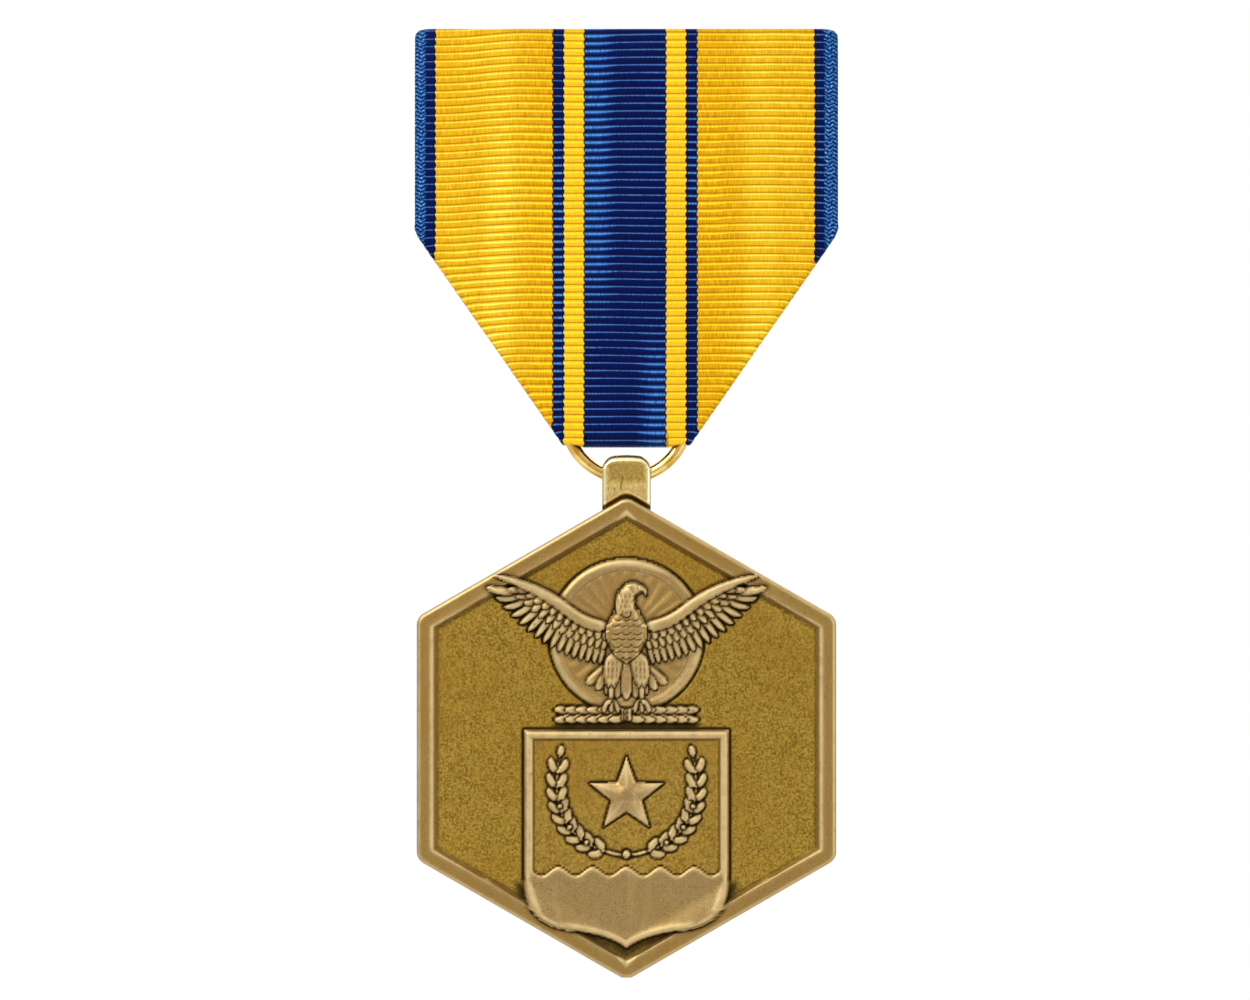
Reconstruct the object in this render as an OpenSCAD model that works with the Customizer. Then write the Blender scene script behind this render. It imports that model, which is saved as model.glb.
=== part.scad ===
// Full-size service medal: a ribbon drape on a pin brooch, a suspension ring and a
// six-sided struck medallion. Millimetres. X runs to the wearer's left as seen from
// the front, Y runs backwards into the garment, Z runs up. The origin is the middle
// of the pin stem, on its axis, with the pin closed.

/* [Ribbon] */
// Woven width of the ribbon strip
ribbon_w = 34.9; // [33:0.1:37]
// Thickness of one layer of ribbon
ribbon_t = 0.4; // [0.3:0.05:0.4]
// Height of the drape, from its bottom fold to its top fold
drape_h = 34.6; // [32:0.1:38]
// Height of the two shoulders above the bottom fold, where the mitres start
shoulder_h = 17.7; // [15:0.1:19]
// Width across the foot of the two mitres
foot_w = 10.6; // [10:0.1:12]
// Width of the tongue that passes through the ring
tongue_w = 6.9; // [5:0.1:7]

/* [Medallion] */
// Width of the hexagon across its flats
medallion_af = 34.6; // [33:0.1:36]
// Thickness of the hexagon at its rim
medallion_t = 2.8; // [2.4:0.1:3]
// Width of the raised rim
rim_w = 1.3; // [1:0.1:2]
// Depth of the field below the rim, on each face
field_depth = 0.55; // [0.3:0.05:0.7]
// Radius of the hexagon's corners
corner_r = 1.1; // [0.8:0.1:1.6]

/* [Ring and lug] */
// Diameter of the ring's wire
wire_d = 1.0; // [0.8:0.05:1]
// Radius of the ring, to the middle of its wire
ring_r = 5.0; // [4.9:0.1:5.2]
// Height of the ring's centre above the ribbon's bottom fold
ring_rise = 2.5; // [2.4:0.05:2.6]
// Width of the lug
lug_w = 4.0; // [3.6:0.1:4]
// Thickness of the lug, front to back
lug_t = 2.6; // [2.4:0.1:2.8]
// Diameter of the cross hole in the lug
lug_bore_d = 1.6; // [1.55:0.05:1.8]

/* [Brooch] */
// Length of the inner bar that the ribbon folds over
bar_l = 33.6; // [31:0.1:34]
// Length of the back plate
plate_l = 31.0; // [30:0.1:32]
// Height of the back plate
plate_h = 6.4; // [6:0.1:7]
// Diameter of the pin stem
stem_d = 0.9; // [0.8:0.05:1]
// Distance from the back plate to the axis of the pin stem
stem_rise = 1.9; // [1.9:0.05:2.2]

/* [Hidden] */
$fn = 48;

gap = 0.05;                 // slip clearance between neighbouring pieces
half_w = ribbon_w / 2;
stem_above_fold = 29;       // height of the pin axis above the bottom fold
wrap_lean = 0.38;           // the front layer leans back by this much over the bar,
lean_mid = 0.12;            // this much of it between the two heights below
lean_z = [1.8, 3.2];
bar_shoulder_z = 2.0;       // the inner bar thins above this height
fold_z = -stem_above_fold;  // bottom of the ribbon
top_z = fold_z + drape_h;   // top of the ribbon
shoulder_z = fold_z + shoulder_h;
foot_lift = 0.25;           // the foot's corners stand this far above the fold

// Layers of the brooch, from the back plate forwards.
plate_t = 0.5;
plate_y = -stem_rise - plate_t;                 // front face of the back plate
tail_y = plate_y - gap - ribbon_t / 2;          // middle of the turned-down tail
bar_back_y = tail_y - ribbon_t / 2 - gap;
bar_t = 0.8;
bar_top_t = 0.47;                               // the bar thins towards its top edge
front_y = bar_back_y - bar_t - 2 * gap - ribbon_t / 2;   // middle of the front layer
ring_y = front_y + 1.5 * ribbon_t + gap + wire_d / 2;    // plane of the ring
back_y = ring_y + (ring_y - front_y);           // middle of the rear layer, at the ring
seam_y = tail_y - ribbon_t - gap;               // middle of the rear layer, at the seam

// Heights along the ribbon's path.
wrap_r = (tail_y - front_y - wrap_lean) / 2;    // radius of the fold over the bar
wrap_z = top_z - ribbon_t / 2 - wrap_r;
bar_low_z = -4.0;
tail_end_z = -8.0;
rear_end_z = -4.4;
fold_r = ring_y - front_y;
ring_z = fold_z + ring_rise;
rear_bend_z = ring_z + ring_r + wire_d / 2 + 2; // the rear layer leans in above this
seam_z = -6.4;

// The hexagon and the lug.
apex_drop = 4.2;            // from the fold to the hexagon's apex
half_ac = medallion_af / sqrt(3) - corner_r * (2 / sqrt(3) - 1);
hex_z = fold_z - apex_drop - half_ac;
bore_z = ring_z - ring_r + 0.21;   // centred on the arc of wire inside the lug
lug_top_z = fold_z - 0.62;  // the lug's top stays clear of the tongue
lug_round_r = 0.8;          // the lug's top corners, seen from the front
lug_over_r = 0.7;           // the lug's top corners, seen from the side
lug_seat = 1.2;             // the lug reaches this far down beside the apex

// The pin and its catch.
hinge_x = 13.5;
catch_x = -12.0;
catch_l = 3.0;
eye_h = 1.3;
eye_r = 1.1;
ear_t = 0.5;
ear_r = 1.25;
rivet_r = 0.5;
bore_r = rivet_r + gap;
mouth_w = 1.3;
housing_r = 1.85;
rotor_r = 1.3;
collar_r = 1.55;
flange_t = 0.7;
flange_r = 1.7;

overlap = 0.01;             // neighbouring solids of one piece share this much
through = 5;                // a cutter reaches this far past what it cuts

// ---- helpers ----

// Points along an arc in the plane.
function arc(c, r, a0, a1, n) =
    [for (i = [0:n]) let (a = a0 + (a1 - a0) * i / n) c + r * [cos(a), sin(a)]];

function unit(v) = v / norm(v);

function reversed(list) = [for (i = [len(list) - 1:-1:0]) list[i]];

// Left-hand normal of a path at point i.
function normal_at(path, i) =
    let (
        before = unit(path[i] - path[max(i - 1, 0)] + (i == 0 ? path[1] - path[0] : [0, 0])),
        after = i == len(path) - 1 ? before : unit(path[i + 1] - path[i]),
        along = unit(before + after)
    ) [-along[1], along[0]];

// Outline of a band of thickness t along a path.
function band(path, t) = concat(
    [for (i = [0:len(path) - 1]) path[i] + normal_at(path, i) * t / 2],
    reversed([for (i = [0:len(path) - 1]) path[i] - normal_at(path, i) * t / 2])
);

// Mirror image of point p in the line through a and b.
function mirrored(p, a, b) =
    let (d = unit(b - a), v = p - a) a + 2 * (v * d) * d - v;

// A regular hexagon with a corner at its top and rounded corners.
function hexagon(across_flats, r) = [
    for (k = [0:5])
        let (a = 90 + 60 * k, c = (across_flats / 2 - r) / cos(30) * [cos(a), sin(a)])
            each arc(c, r, a - 30, a + 30, 6)
];

// Extrudes a (y, z) outline from x0 to x1.
module along_x(x0, x1) {
    translate([x0, 0, 0]) rotate([90, 0, 90]) linear_extrude(x1 - x0) children();
}

// Extrudes an (x, z) outline from y0 to y1.
module along_y(y0, y1) {
    translate([0, y1, 0]) rotate([90, 0, 0]) linear_extrude(y1 - y0) children();
}

// A cylinder along X, centred on (y, z).
module rod_x(x0, x1, y, z, r) {
    translate([x0, y, z]) rotate([0, 90, 0]) cylinder(h = x1 - x0, r = r);
}

// ---- ribbon ----

// Middle line of the front layer, over the bar and down to the end of the tail.
front_path = concat(
    [[front_y, fold_z + foot_lift], [front_y, lean_z[0]], [front_y + lean_mid, lean_z[1]]],
    arc([tail_y - wrap_r, wrap_z], wrap_r, 180, 0, 12),
    [[tail_y, tail_end_z]]
);

// Middle line of the rear layer, from the foot up to its sewn end.
rear_path = [
    [back_y, fold_z + foot_lift], [back_y, rear_bend_z],
    [seam_y, tail_end_z], [seam_y, rear_end_z],
];

// Middle line of the rear layer's turned-in corners, which lie in front of it.
rear_flap_path = [for (p = rear_path) p - [ribbon_t - overlap, 0]];

// Middle line of the fold round the foot.
fold_path = arc([ring_y, fold_z + ribbon_t / 2 + fold_r], fold_r, 180, 360, 16);

foot_corner = [foot_w / 2, fold_z + foot_lift];
shoulder = [half_w, shoulder_z];

// Front view of the drape.
module drape_outline() {
    polygon([
        foot_corner, shoulder, [half_w, top_z + through],
        [-half_w, top_z + through], [-shoulder[0], shoulder[1]], [-foot_corner[0], foot_corner[1]],
    ]);
}

// One mitre's turned-in corner, seen from the front.
module mitre_outline() {
    polygon([
        foot_corner, shoulder,
        mirrored([half_w, fold_z + foot_lift], foot_corner, shoulder),
    ]);
}

module ribbon() {
    color("goldenrod") difference() {
        union() {
            intersection() {
                union() {
                    along_x(-half_w, half_w) polygon(band(front_path, ribbon_t));
                    along_x(-half_w, half_w) polygon(band(rear_path, ribbon_t));
                }
                along_y(front_y - ribbon_t, 0) drape_outline();
            }
            // the tongue round the bottom fold
            along_x(-tongue_w / 2, tongue_w / 2) polygon(band(fold_path, ribbon_t));
            for (side = [0, 1]) mirror([side, 0, 0]) {
                along_y(front_y + ribbon_t / 2 - overlap, front_y + 1.5 * ribbon_t) mitre_outline();
                intersection() {
                    along_x(0, half_w) polygon(band(rear_flap_path, ribbon_t));
                    along_y(front_y, 0) mitre_outline();
                }
            }
        }
        for (x = [-1, 1] * plate_rivet_x) rivet_hole(x);
    }
}

module rivet_hole(x) {
    translate([x, tail_y - ribbon_t, 0]) rotate([-90, 0, 0])
        cylinder(h = 2 * ribbon_t, r = plate_rivet_r + gap);
}

// ---- thread ----

thread_d = 0.25;
stitch_l = 1.5;
stitch_pitch = 2.2;

// A short run of thread lying half sunk in the cloth, from a to b.
module stitch(a, b) {
    d = b - a;
    translate(a) rotate([0, acos(d[2] / norm(d)), atan2(d[1], d[0])]) cylinder(h = norm(d), d = thread_d);
}

module seam_thread() {
    color("gold") for (i = [-7:7])
        stitch([i * stitch_pitch - stitch_l / 2, tail_y + ribbon_t / 2, seam_z],
               [i * stitch_pitch + stitch_l / 2, tail_y + ribbon_t / 2, seam_z]);
}

// Short rows that hold the rear layer's turned-in corners.
module mitre_tacks() {
    inset = 1.3;
    first = 1.2;
    along = unit(shoulder - foot_corner);
    inward = [-along[1], along[0]] * inset;
    color("gold") for (side = [0, 1]) mirror([side, 0, 0]) for (i = [0:2]) {
        p = foot_corner + inward + along * (first + i * stitch_pitch);
        q = p + along * stitch_l;
        stitch([p[0], back_y + ribbon_t / 2, p[1]], [q[0], back_y + ribbon_t / 2, q[1]]);
    }
}

// ---- brooch ----

plate_rivet_x = 7.5;
plate_rivet_r = 0.6;
rivet_head_r = 1.1;
rivet_head_t = 0.35;
rivet_crown_r = 0.8;        // the rear heads taper to this

module brooch_bar() {
    top_r = bar_top_t / 2;
    top_c = [bar_back_y - top_r, wrap_z];
    color("darkgoldenrod") difference() {
        along_x(-bar_l / 2, bar_l / 2) polygon(concat(
            [[bar_back_y, bar_low_z]],
            arc(top_c, top_r, 0, 180, 10),
            [[bar_back_y - bar_t, bar_shoulder_z], [bar_back_y - bar_t, bar_low_z]]
        ));
        // countersunk seats, so that the rivets' front heads lie flush
        for (x = [-1, 1] * plate_rivet_x) translate([x, bar_back_y - bar_t, 0]) rotate([-90, 0, 0]) {
            translate([0, 0, -bar_t]) cylinder(h = 3 * bar_t, r = plate_rivet_r);
            translate([0, 0, -bar_t]) cylinder(h = bar_t + rivet_head_t, r = rivet_head_r);
        }
    }
}

module back_plate() {
    end_r = 1.0;
    color("darkgoldenrod") difference() {
        along_y(plate_y, plate_y + plate_t) polygon([
            for (a = [45, 135, 225, 315])
                let (c = [sign(cos(a)) * (plate_l / 2 - end_r), sign(sin(a)) * (plate_h / 2 - end_r)])
                    each arc(c, end_r, a - 45, a + 45, 5)
        ]);
        for (x = [-1, 1] * plate_rivet_x)
            translate([x, plate_y - plate_t, 0]) rotate([-90, 0, 0])
                cylinder(h = 3 * plate_t, r = plate_rivet_r);
    }
}

// Two flat-headed rivets that clamp the ribbon's tail between the bar and the back plate.
module plate_rivets() {
    bar_front_y = bar_back_y - bar_t;
    grip = plate_y + plate_t - bar_front_y;
    color("khaki") for (x = [-1, 1] * plate_rivet_x) translate([x, bar_front_y, 0]) rotate([-90, 0, 0]) {
        cylinder(h = rivet_head_t, r = rivet_head_r);
        cylinder(h = grip, r = plate_rivet_r);
        translate([0, 0, grip]) cylinder(h = rivet_head_t, r1 = rivet_head_r, r2 = rivet_crown_r);
    }
}

// ---- pin, hinge and catch ----

// Yoke with an ear above and below the needle's eye.
module hinge_bracket() {
    ear_z = eye_h / 2 + gap;
    base_w = 3;
    color("khaki") difference() {
        union() {
            translate([hinge_x - base_w / 2, -stem_rise, -ear_z - ear_t])
                cube([base_w, ear_t, 2 * (ear_z + ear_t)]);
            for (z = [-ear_z - ear_t, ear_z]) {
                translate([hinge_x - ear_r, -stem_rise, z]) cube([2 * ear_r, stem_rise, ear_t]);
                translate([hinge_x, 0, z]) cylinder(h = ear_t, r = ear_r);
            }
        }
        translate([hinge_x, 0, -through]) cylinder(h = 2 * through, r = rivet_r);
    }
}

module hinge_rivet() {
    head_t = 0.3;
    head_r = 0.85;
    crown_r = 0.6;
    z1 = eye_h / 2 + gap + ear_t;
    color("silver") {
        translate([hinge_x, 0, -z1]) cylinder(h = 2 * z1, r = rivet_r);
        translate([hinge_x, 0, z1]) cylinder(h = head_t, r1 = head_r, r2 = crown_r);
        translate([hinge_x, 0, -z1 - head_t]) cylinder(h = head_t, r1 = crown_r, r2 = head_r);
    }
}

stem_tip_x = catch_x - catch_l / 2 - 0.6;
point_l = 4.9;              // the point starts tapering before it enters the catch
root_l = 1.9;               // the root thickens towards the eye
root_r = 0.62;
tip_r = 0.06;

module pin_needle() {
    color("silver") difference() {
        union() {
            translate([hinge_x, 0, -eye_h / 2]) cylinder(h = eye_h, r = eye_r);
            rod_x(stem_tip_x + point_l, hinge_x - root_l, 0, 0, stem_d / 2);
            translate([hinge_x - root_l, 0, 0]) rotate([0, 90, 0])
                cylinder(h = root_l, r1 = stem_d / 2, r2 = root_r);
            translate([stem_tip_x + point_l, 0, 0]) rotate([0, -90, 0])
                cylinder(h = point_l, r1 = stem_d / 2, r2 = tip_r);
        }
        translate([hinge_x, 0, -through]) cylinder(h = 2 * through, r = bore_r);
    }
}

// Groove in the housing that keeps the rotor's collar from sliding out.
groove_l = 0.9;

module catch_housing() {
    x0 = catch_x - catch_l / 2;
    base_w = 3;
    base_t = stem_rise - rotor_r + 0.4;
    color("khaki") difference() {
        union() {
            rod_x(x0, x0 + catch_l, 0, 0, housing_r);
            translate([x0, -stem_rise, -base_w / 2]) cube([catch_l, base_t, base_w]);
        }
        rod_x(x0 - through, x0 + catch_l + through, 0, 0, rotor_r + gap);
        rod_x(catch_x - groove_l / 2, catch_x + groove_l / 2, 0, 0, collar_r + gap);
        translate([x0 - through, 0, -mouth_w / 2]) cube([catch_l + 2 * through, 2 * housing_r, mouth_w]);
    }
}

// Locking sleeve. Its thumb lever stands outside the housing, on the hinge side.
module catch_rotor() {
    x0 = catch_x - catch_l / 2;
    x1 = x0 + catch_l + gap;
    lever_angle = -60;
    lever_root = 1;
    lever_l = 3;
    lever_w = 1.2;
    slot_r = 0.6;
    slot_depth = 2.2;
    color("silver") difference() {
        union() {
            rod_x(x0, x1 + flange_t, 0, 0, rotor_r);
            rod_x(catch_x - groove_l / 2 + gap, catch_x + groove_l / 2 - gap, 0, 0, collar_r);
            rod_x(x1, x1 + flange_t, 0, 0, flange_r);
            rotate([lever_angle, 0, 0]) {
                translate([x1, lever_root, -lever_w / 2]) cube([flange_t, lever_l - lever_root, lever_w]);
                rod_x(x1, x1 + flange_t, lever_l, 0, lever_w / 2);
            }
        }
        rod_x(x0 - through, x1 + through, 0, 0, slot_r);
        translate([x0 - through, 0, -mouth_w / 2]) cube([catch_l + 2 * through, slot_depth, mouth_w]);
    }
}

// ---- ring, lug and medallion ----

module suspension_ring() {
    color("gold") translate([0, ring_y, ring_z]) rotate([90, 0, 0])
        rotate_extrude($fn = 96) translate([ring_r, 0]) circle(d = wire_d);
}

// Six-sided blank of the medallion, to cut the lug's seat.
module blank(af, y0, y1) {
    along_y(y0, y1) translate([0, hex_z]) polygon(hexagon(af, corner_r * af / medallion_af));
}

// A drilled lug, brazed over the hexagon's top corner.
module suspension_lug() {
    side_r = lug_t / 2;
    low_z = fold_z - apex_drop - lug_seat;
    color("peru") difference() {
        intersection() {
            along_y(ring_y - side_r, ring_y + side_r) polygon(concat(
                [[-lug_w / 2, low_z], [lug_w / 2, low_z]],
                arc([lug_w / 2 - lug_round_r, lug_top_z - lug_round_r], lug_round_r, 0, 90, 6),
                arc([-lug_w / 2 + lug_round_r, lug_top_z - lug_round_r], lug_round_r, 90, 180, 6)
            ));
            along_x(-lug_w, lug_w) translate([ring_y, 0]) polygon(concat(
                [[-side_r, low_z], [side_r, low_z]],
                arc([side_r - lug_over_r, lug_top_z - lug_over_r], lug_over_r, 0, 90, 8),
                arc([-side_r + lug_over_r, lug_top_z - lug_over_r], lug_over_r, 90, 180, 8)
            ));
        }
        rod_x(-lug_w, lug_w, ring_y, bore_z, lug_bore_d / 2);
        blank(medallion_af, ring_y - through, ring_y + through);
    }
}

medallion_front = ring_y - medallion_t / 2;
medallion_back = ring_y + medallion_t / 2;
field_front = medallion_front + field_depth;
field_back = medallion_back - field_depth;

// Raises an (x, z) outline, measured from the hexagon's centre, above the front field.
module relief(height) {
    along_y(field_front - height, field_front + relief_root) translate([0, hex_z]) children();
}

// Right half of the shield's outline, from the middle of its top edge round to its point.
shield_half = concat(
    [[0, 0.7], [8.5, 0.7]],
    arc([5.4, -12.3], 3.1, 0, -75, 6),
    [[2.4, -16.0], [0, -17.4]]
);

// Right wing and half of the body of the bird.
bird_half = [
    [0, 12.9], [0.7, 12.4], [1.1, 10.0], [3.6, 10.8], [5.5, 12.3], [10.1, 13.6], [11.3, 12.9],
    [10.7, 11.1], [7.1, 9.3], [5.4, 7.4], [3.6, 6.2], [1.9, 6.4], [2.3, 2.7], [0, 2.7],
];

function both_halves(half) = concat(half, reversed([for (p = half) [-p[0], p[1]]]));

disc_c = [0, 8.4];
disc_r = 6.4;
disc_rise = 0.3;            // the disc stands this far above the front field
figure_rise = 0.5;          // the bird, its perch and the shield stand this far above it
relief_root = 0.1;          // raised parts reach this far down into the blank
perch = [12, 1.1];
perch_low = 1.45;

// The blank tablet of the reverse.
tablet = [17, 9];
tablet_corner_r = 1.2;
tablet_rise = 0.24;

module tablet_outline() {
    polygon([
        for (a = [45, 135, 225, 315])
            let (c = [sign(cos(a)) * (tablet[0] / 2 - tablet_corner_r),
                      sign(sin(a)) * (tablet[1] / 2 - tablet_corner_r)])
                each arc(c, tablet_corner_r, a - 45, a + 45, 6)
    ]);
}

module medallion() {
    color("peru") {
        difference() {
            blank(medallion_af, medallion_front, medallion_back);
            blank(medallion_af - 2 * rim_w, medallion_front - through, field_front);
            blank(medallion_af - 2 * rim_w, field_back, medallion_back + through);
        }
        relief(disc_rise) translate(disc_c) circle(r = disc_r);
        relief(figure_rise) polygon(both_halves(shield_half));
        relief(figure_rise) polygon(both_halves(bird_half));
        relief(figure_rise) translate([-perch[0] / 2, perch_low]) square(perch);
        along_y(field_back - relief_root, field_back + tablet_rise)
            translate([0, hex_z]) tablet_outline();
    }
}

ribbon();
seam_thread();
mitre_tacks();
brooch_bar();
back_plate();
plate_rivets();
hinge_bracket();
hinge_rivet();
pin_needle();
catch_housing();
catch_rotor();
suspension_ring();
suspension_lug();
medallion();
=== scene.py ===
"""Looks of the service medal: woven ribbon, struck medallion, lug, ring, thread and pin brooch.

Shapes are worked out in millimetres in the CAD frame: X right as the front is seen, Y back, Z up.
"""

import math

import bmesh
import bpy
import numpy as np
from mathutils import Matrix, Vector


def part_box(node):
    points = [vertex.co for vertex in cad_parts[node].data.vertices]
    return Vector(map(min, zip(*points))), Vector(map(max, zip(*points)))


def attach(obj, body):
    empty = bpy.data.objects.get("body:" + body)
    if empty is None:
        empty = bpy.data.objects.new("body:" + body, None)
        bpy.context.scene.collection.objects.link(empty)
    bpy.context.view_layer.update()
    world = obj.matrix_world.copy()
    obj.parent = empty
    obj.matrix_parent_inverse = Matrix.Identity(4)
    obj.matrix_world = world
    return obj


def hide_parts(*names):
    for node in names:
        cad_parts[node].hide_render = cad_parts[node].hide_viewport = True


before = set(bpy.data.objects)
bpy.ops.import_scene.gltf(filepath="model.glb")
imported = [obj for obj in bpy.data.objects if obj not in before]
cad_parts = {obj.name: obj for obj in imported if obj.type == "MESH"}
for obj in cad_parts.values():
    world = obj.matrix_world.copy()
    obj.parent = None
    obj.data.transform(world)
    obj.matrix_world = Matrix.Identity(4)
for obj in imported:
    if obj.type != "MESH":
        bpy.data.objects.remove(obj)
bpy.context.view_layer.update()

MM = 0.001
WELD = 0.0005  # points closer than this are one


def box_mm(node):
    """Lowest and highest corner of a CAD node, in millimetres."""
    low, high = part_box(node)
    return np.array(low) / MM, np.array(high) / MM


ribbon_low, ribbon_high = box_mm("ribbon")
ring_low, ring_high = box_mm("suspension_ring")
medal_low, medal_high = box_mm("medallion")
lug_low, lug_high = box_mm("suspension_lug")
tail_y = box_mm("back_plate")[0][1] - 0.25
bar_z = box_mm("brooch_bar")[0][2]

fold_z = ribbon_low[2]
top_z = ribbon_high[2]
half_w = ribbon_high[0]
ring_y = (ring_low[1] + ring_high[1]) / 2
ring_z = (ring_low[2] + ring_high[2]) / 2
hex_z = (medal_low[2] + medal_high[2]) / 2


# ---------------------------------------------------------------- small maths


def smooth(t):
    """Smooth step from 0 to 1 as t goes from 0 to 1."""
    t = np.clip(t, 0, 1)
    return t * t * (3 - 2 * t)


def bell(distance, width):
    """1 at no distance, falling to 0 over about twice the width."""
    return np.exp(-((distance / width) ** 2))


def unit(v):
    return v / np.linalg.norm(v)


def curve(start, control, end, count):
    """Points along a quadratic curve."""
    t = np.linspace(0, 1, count)[:, None]
    return (1 - t) ** 2 * start + 2 * t * (1 - t) * control + t**2 * end


def arc(centre, radius, start, end, count):
    """Points along an arc in a plane, with its angles in degrees."""
    a = np.radians(np.linspace(start, end, count))
    return centre + radius * np.stack([np.cos(a), np.sin(a)], 1)


def reach_along(line):
    """Distance of each point of a line from its start, along it."""
    return np.concatenate([[0], np.cumsum(np.linalg.norm(np.diff(line, axis=0), axis=1))])


# ---------------------------------------------------------------- meshes


def set_attribute(obj, name, values):
    values = np.asarray(values, np.float32)
    obj.data.attributes.new(name, "FLOAT", "POINT").data.foreach_set("value", values)


def weld(obj, distance_mm=WELD):
    """Joins points that lie on one another, and makes every face look outwards."""
    bm = bmesh.new()
    bm.from_mesh(obj.data)
    bmesh.ops.remove_doubles(bm, verts=bm.verts, dist=distance_mm * MM)
    bmesh.ops.dissolve_degenerate(bm, edges=bm.edges, dist=distance_mm * MM)
    bmesh.ops.recalc_face_normals(bm, faces=bm.faces)
    bm.to_mesh(obj.data)
    bm.free()
    obj.data.shade_smooth()


class Builder:
    """Collects grids of points and their faces for one mesh."""

    def __init__(self):
        self.verts, self.faces, self.values, self.count = [], [], [], 0

    def add(self, points, *values):
        """Adds a grid of points with a value of each attribute, and returns the points' numbers."""
        shape = points.shape[:2]
        index = np.arange(shape[0] * shape[1]).reshape(shape) + self.count
        self.verts.append(points.reshape(-1, 3))
        self.values.append([np.broadcast_to(value, shape).ravel() for value in values])
        self.count += index.size
        return index

    def quads(self, index):
        """Faces of one grid of point numbers."""
        a, b, c, d = index[:-1, :-1], index[:-1, 1:], index[1:, 1:], index[1:, :-1]
        self.faces.append(np.stack([a, b, c, d], -1).reshape(-1, 4))

    def strip(self, first, second):
        """Faces between two rows of point numbers."""
        self.quads(np.stack([first, second]))

    def tube(self, points, closed=False):
        """A grid whose last column meets its first, and if closed its last row meets its first too."""
        index = self.add(points)
        index = np.concatenate([index, index[:1]]) if closed else index
        self.quads(np.concatenate([index, index[:, :1]], 1))

    def finish(self, name, *attributes, distance_mm=WELD):
        """The welded object, with its attributes named."""
        mesh = bpy.data.meshes.new(name)
        mesh.from_pydata(np.concatenate(self.verts) * MM, [], np.concatenate(self.faces))
        obj = bpy.data.objects.new(name, mesh)
        for key, values in zip(attributes, np.hstack(self.values)):
            set_attribute(obj, key, values)
        mesh.validate()
        mesh.update()
        bpy.context.scene.collection.objects.link(obj)
        weld(obj, distance_mm)
        return obj


# ---------------------------------------------------------------- materials


class Value:
    """What a node gives. Adding to it, multiplying it and so on makes math nodes."""

    def __init__(self, nodes, socket):
        self.nodes, self.socket = nodes, socket

    def __add__(self, other):
        return self.nodes.math("ADD", self, other)

    def __radd__(self, other):
        return self.nodes.math("ADD", other, self)

    def __sub__(self, other):
        return self.nodes.math("SUBTRACT", self, other)

    def __rsub__(self, other):
        return self.nodes.math("SUBTRACT", other, self)

    def __mul__(self, other):
        return self.nodes.math("MULTIPLY", self, other)

    def __truediv__(self, other):
        return self.nodes.math("DIVIDE", self, other)

    def __abs__(self):
        return self.nodes.math("ABSOLUTE", self)


class Nodes:
    """The node tree of a material or world, with short ways to add nodes."""

    def __init__(self, owner):
        owner.use_nodes = True
        self.tree = owner.node_tree
        self.tree.nodes.clear()

    def put(self, socket, value):
        """Sets a socket to a number or colour, or links it to what another node gives."""
        if isinstance(value, Value):
            self.tree.links.new(value.socket, socket)
        elif socket.type == "RGBA":
            socket.default_value = (*value, 1)
        else:
            socket.default_value = value

    def node(self, kind, inputs=(), output=0, **settings):
        """Adds a node. inputs is a row of values, or values by the name or number of their socket."""
        made = self.tree.nodes.new("ShaderNode" + kind)
        for key, value in settings.items():
            setattr(made, key, value)
        for key, value in inputs.items() if isinstance(inputs, dict) else enumerate(inputs):
            self.put(made.inputs[key], value)
        return Value(self, made.outputs[output] if made.outputs else None)

    def math(self, operation, *values, **settings):
        return self.node("Math", values, operation=operation, **settings)

    def higher(self, a, b):
        return self.math("MAXIMUM", a, b)

    def attribute(self, name):
        return self.node("Attribute", output="Fac", attribute_name=name)

    def position(self):
        return self.node("NewGeometry", output="Position")

    def noise(self, where, scale, detail=3.0, roughness=0.55, stretch=None):
        if stretch:
            where = self.node("VectorMath", (where, stretch), operation="MULTIPLY")
        inputs = {"Vector": where, "Scale": scale, "Detail": detail, "Roughness": roughness}
        return self.node("TexNoise", inputs, "Fac")

    def flat_noise(self, x, y, detail=2.0):
        """Noise over a plane whose two directions are already in steps of its size."""
        return self.noise(self.node("CombineXYZ", (x, y)), 1.0, detail)

    def span(self, value, low, high, to_low=0.0, to_high=1.0):
        """Maps value from low..high to to_low..to_high, smoothly."""
        inputs = (value, low, high, to_low, to_high)
        return self.node("MapRange", inputs, interpolation_type="SMOOTHSTEP")

    def mix(self, share, a, b):
        """Colour a, or b as the share goes to 1."""
        return self.node("Mix", {0: share, 6: a, 7: b}, 2, data_type="RGBA")

    def bump(self, height, strength, distance_mm, **under):
        inputs = {"Strength": strength, "Distance": distance_mm * MM, "Height": height, **under}
        return self.node("Bump", inputs)


class Shader(Nodes):
    """A node material."""

    def __init__(self, name, **sockets):
        self.material = bpy.data.materials.new(name)
        super().__init__(self.material)
        self.surface = self.tree.nodes.new("ShaderNodeBsdfPrincipled")
        self.node("OutputMaterial", [Value(self, self.surface.outputs[0])])
        self.set(**sockets)

    def set(self, **sockets):
        for key, value in sockets.items():
            self.put(self.surface.inputs[key.replace("_", " ")], value)
        return self.material


def srgb(*display):
    """A colour given as 0 to 255 display values, as linear light."""
    return tuple(c / 255 / 12.92 if c <= 10 else ((c / 255 + 0.055) / 1.055) ** 2.4 for c in display)


def paint(obj, material):
    """Gives an object one material, in every slot."""
    if not obj.material_slots:
        obj.data.materials.append(material)
    for used in obj.material_slots:
        used.link = "OBJECT"
        used.material = material


def place_piece(obj, material, node, body):
    """Paints a piece, hides the CAD node it stands for, and hangs it on the body it rides on."""
    paint(obj, material)
    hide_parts(node)
    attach(obj, body)


# ---------------------------------------------------------------- ribbon

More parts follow.
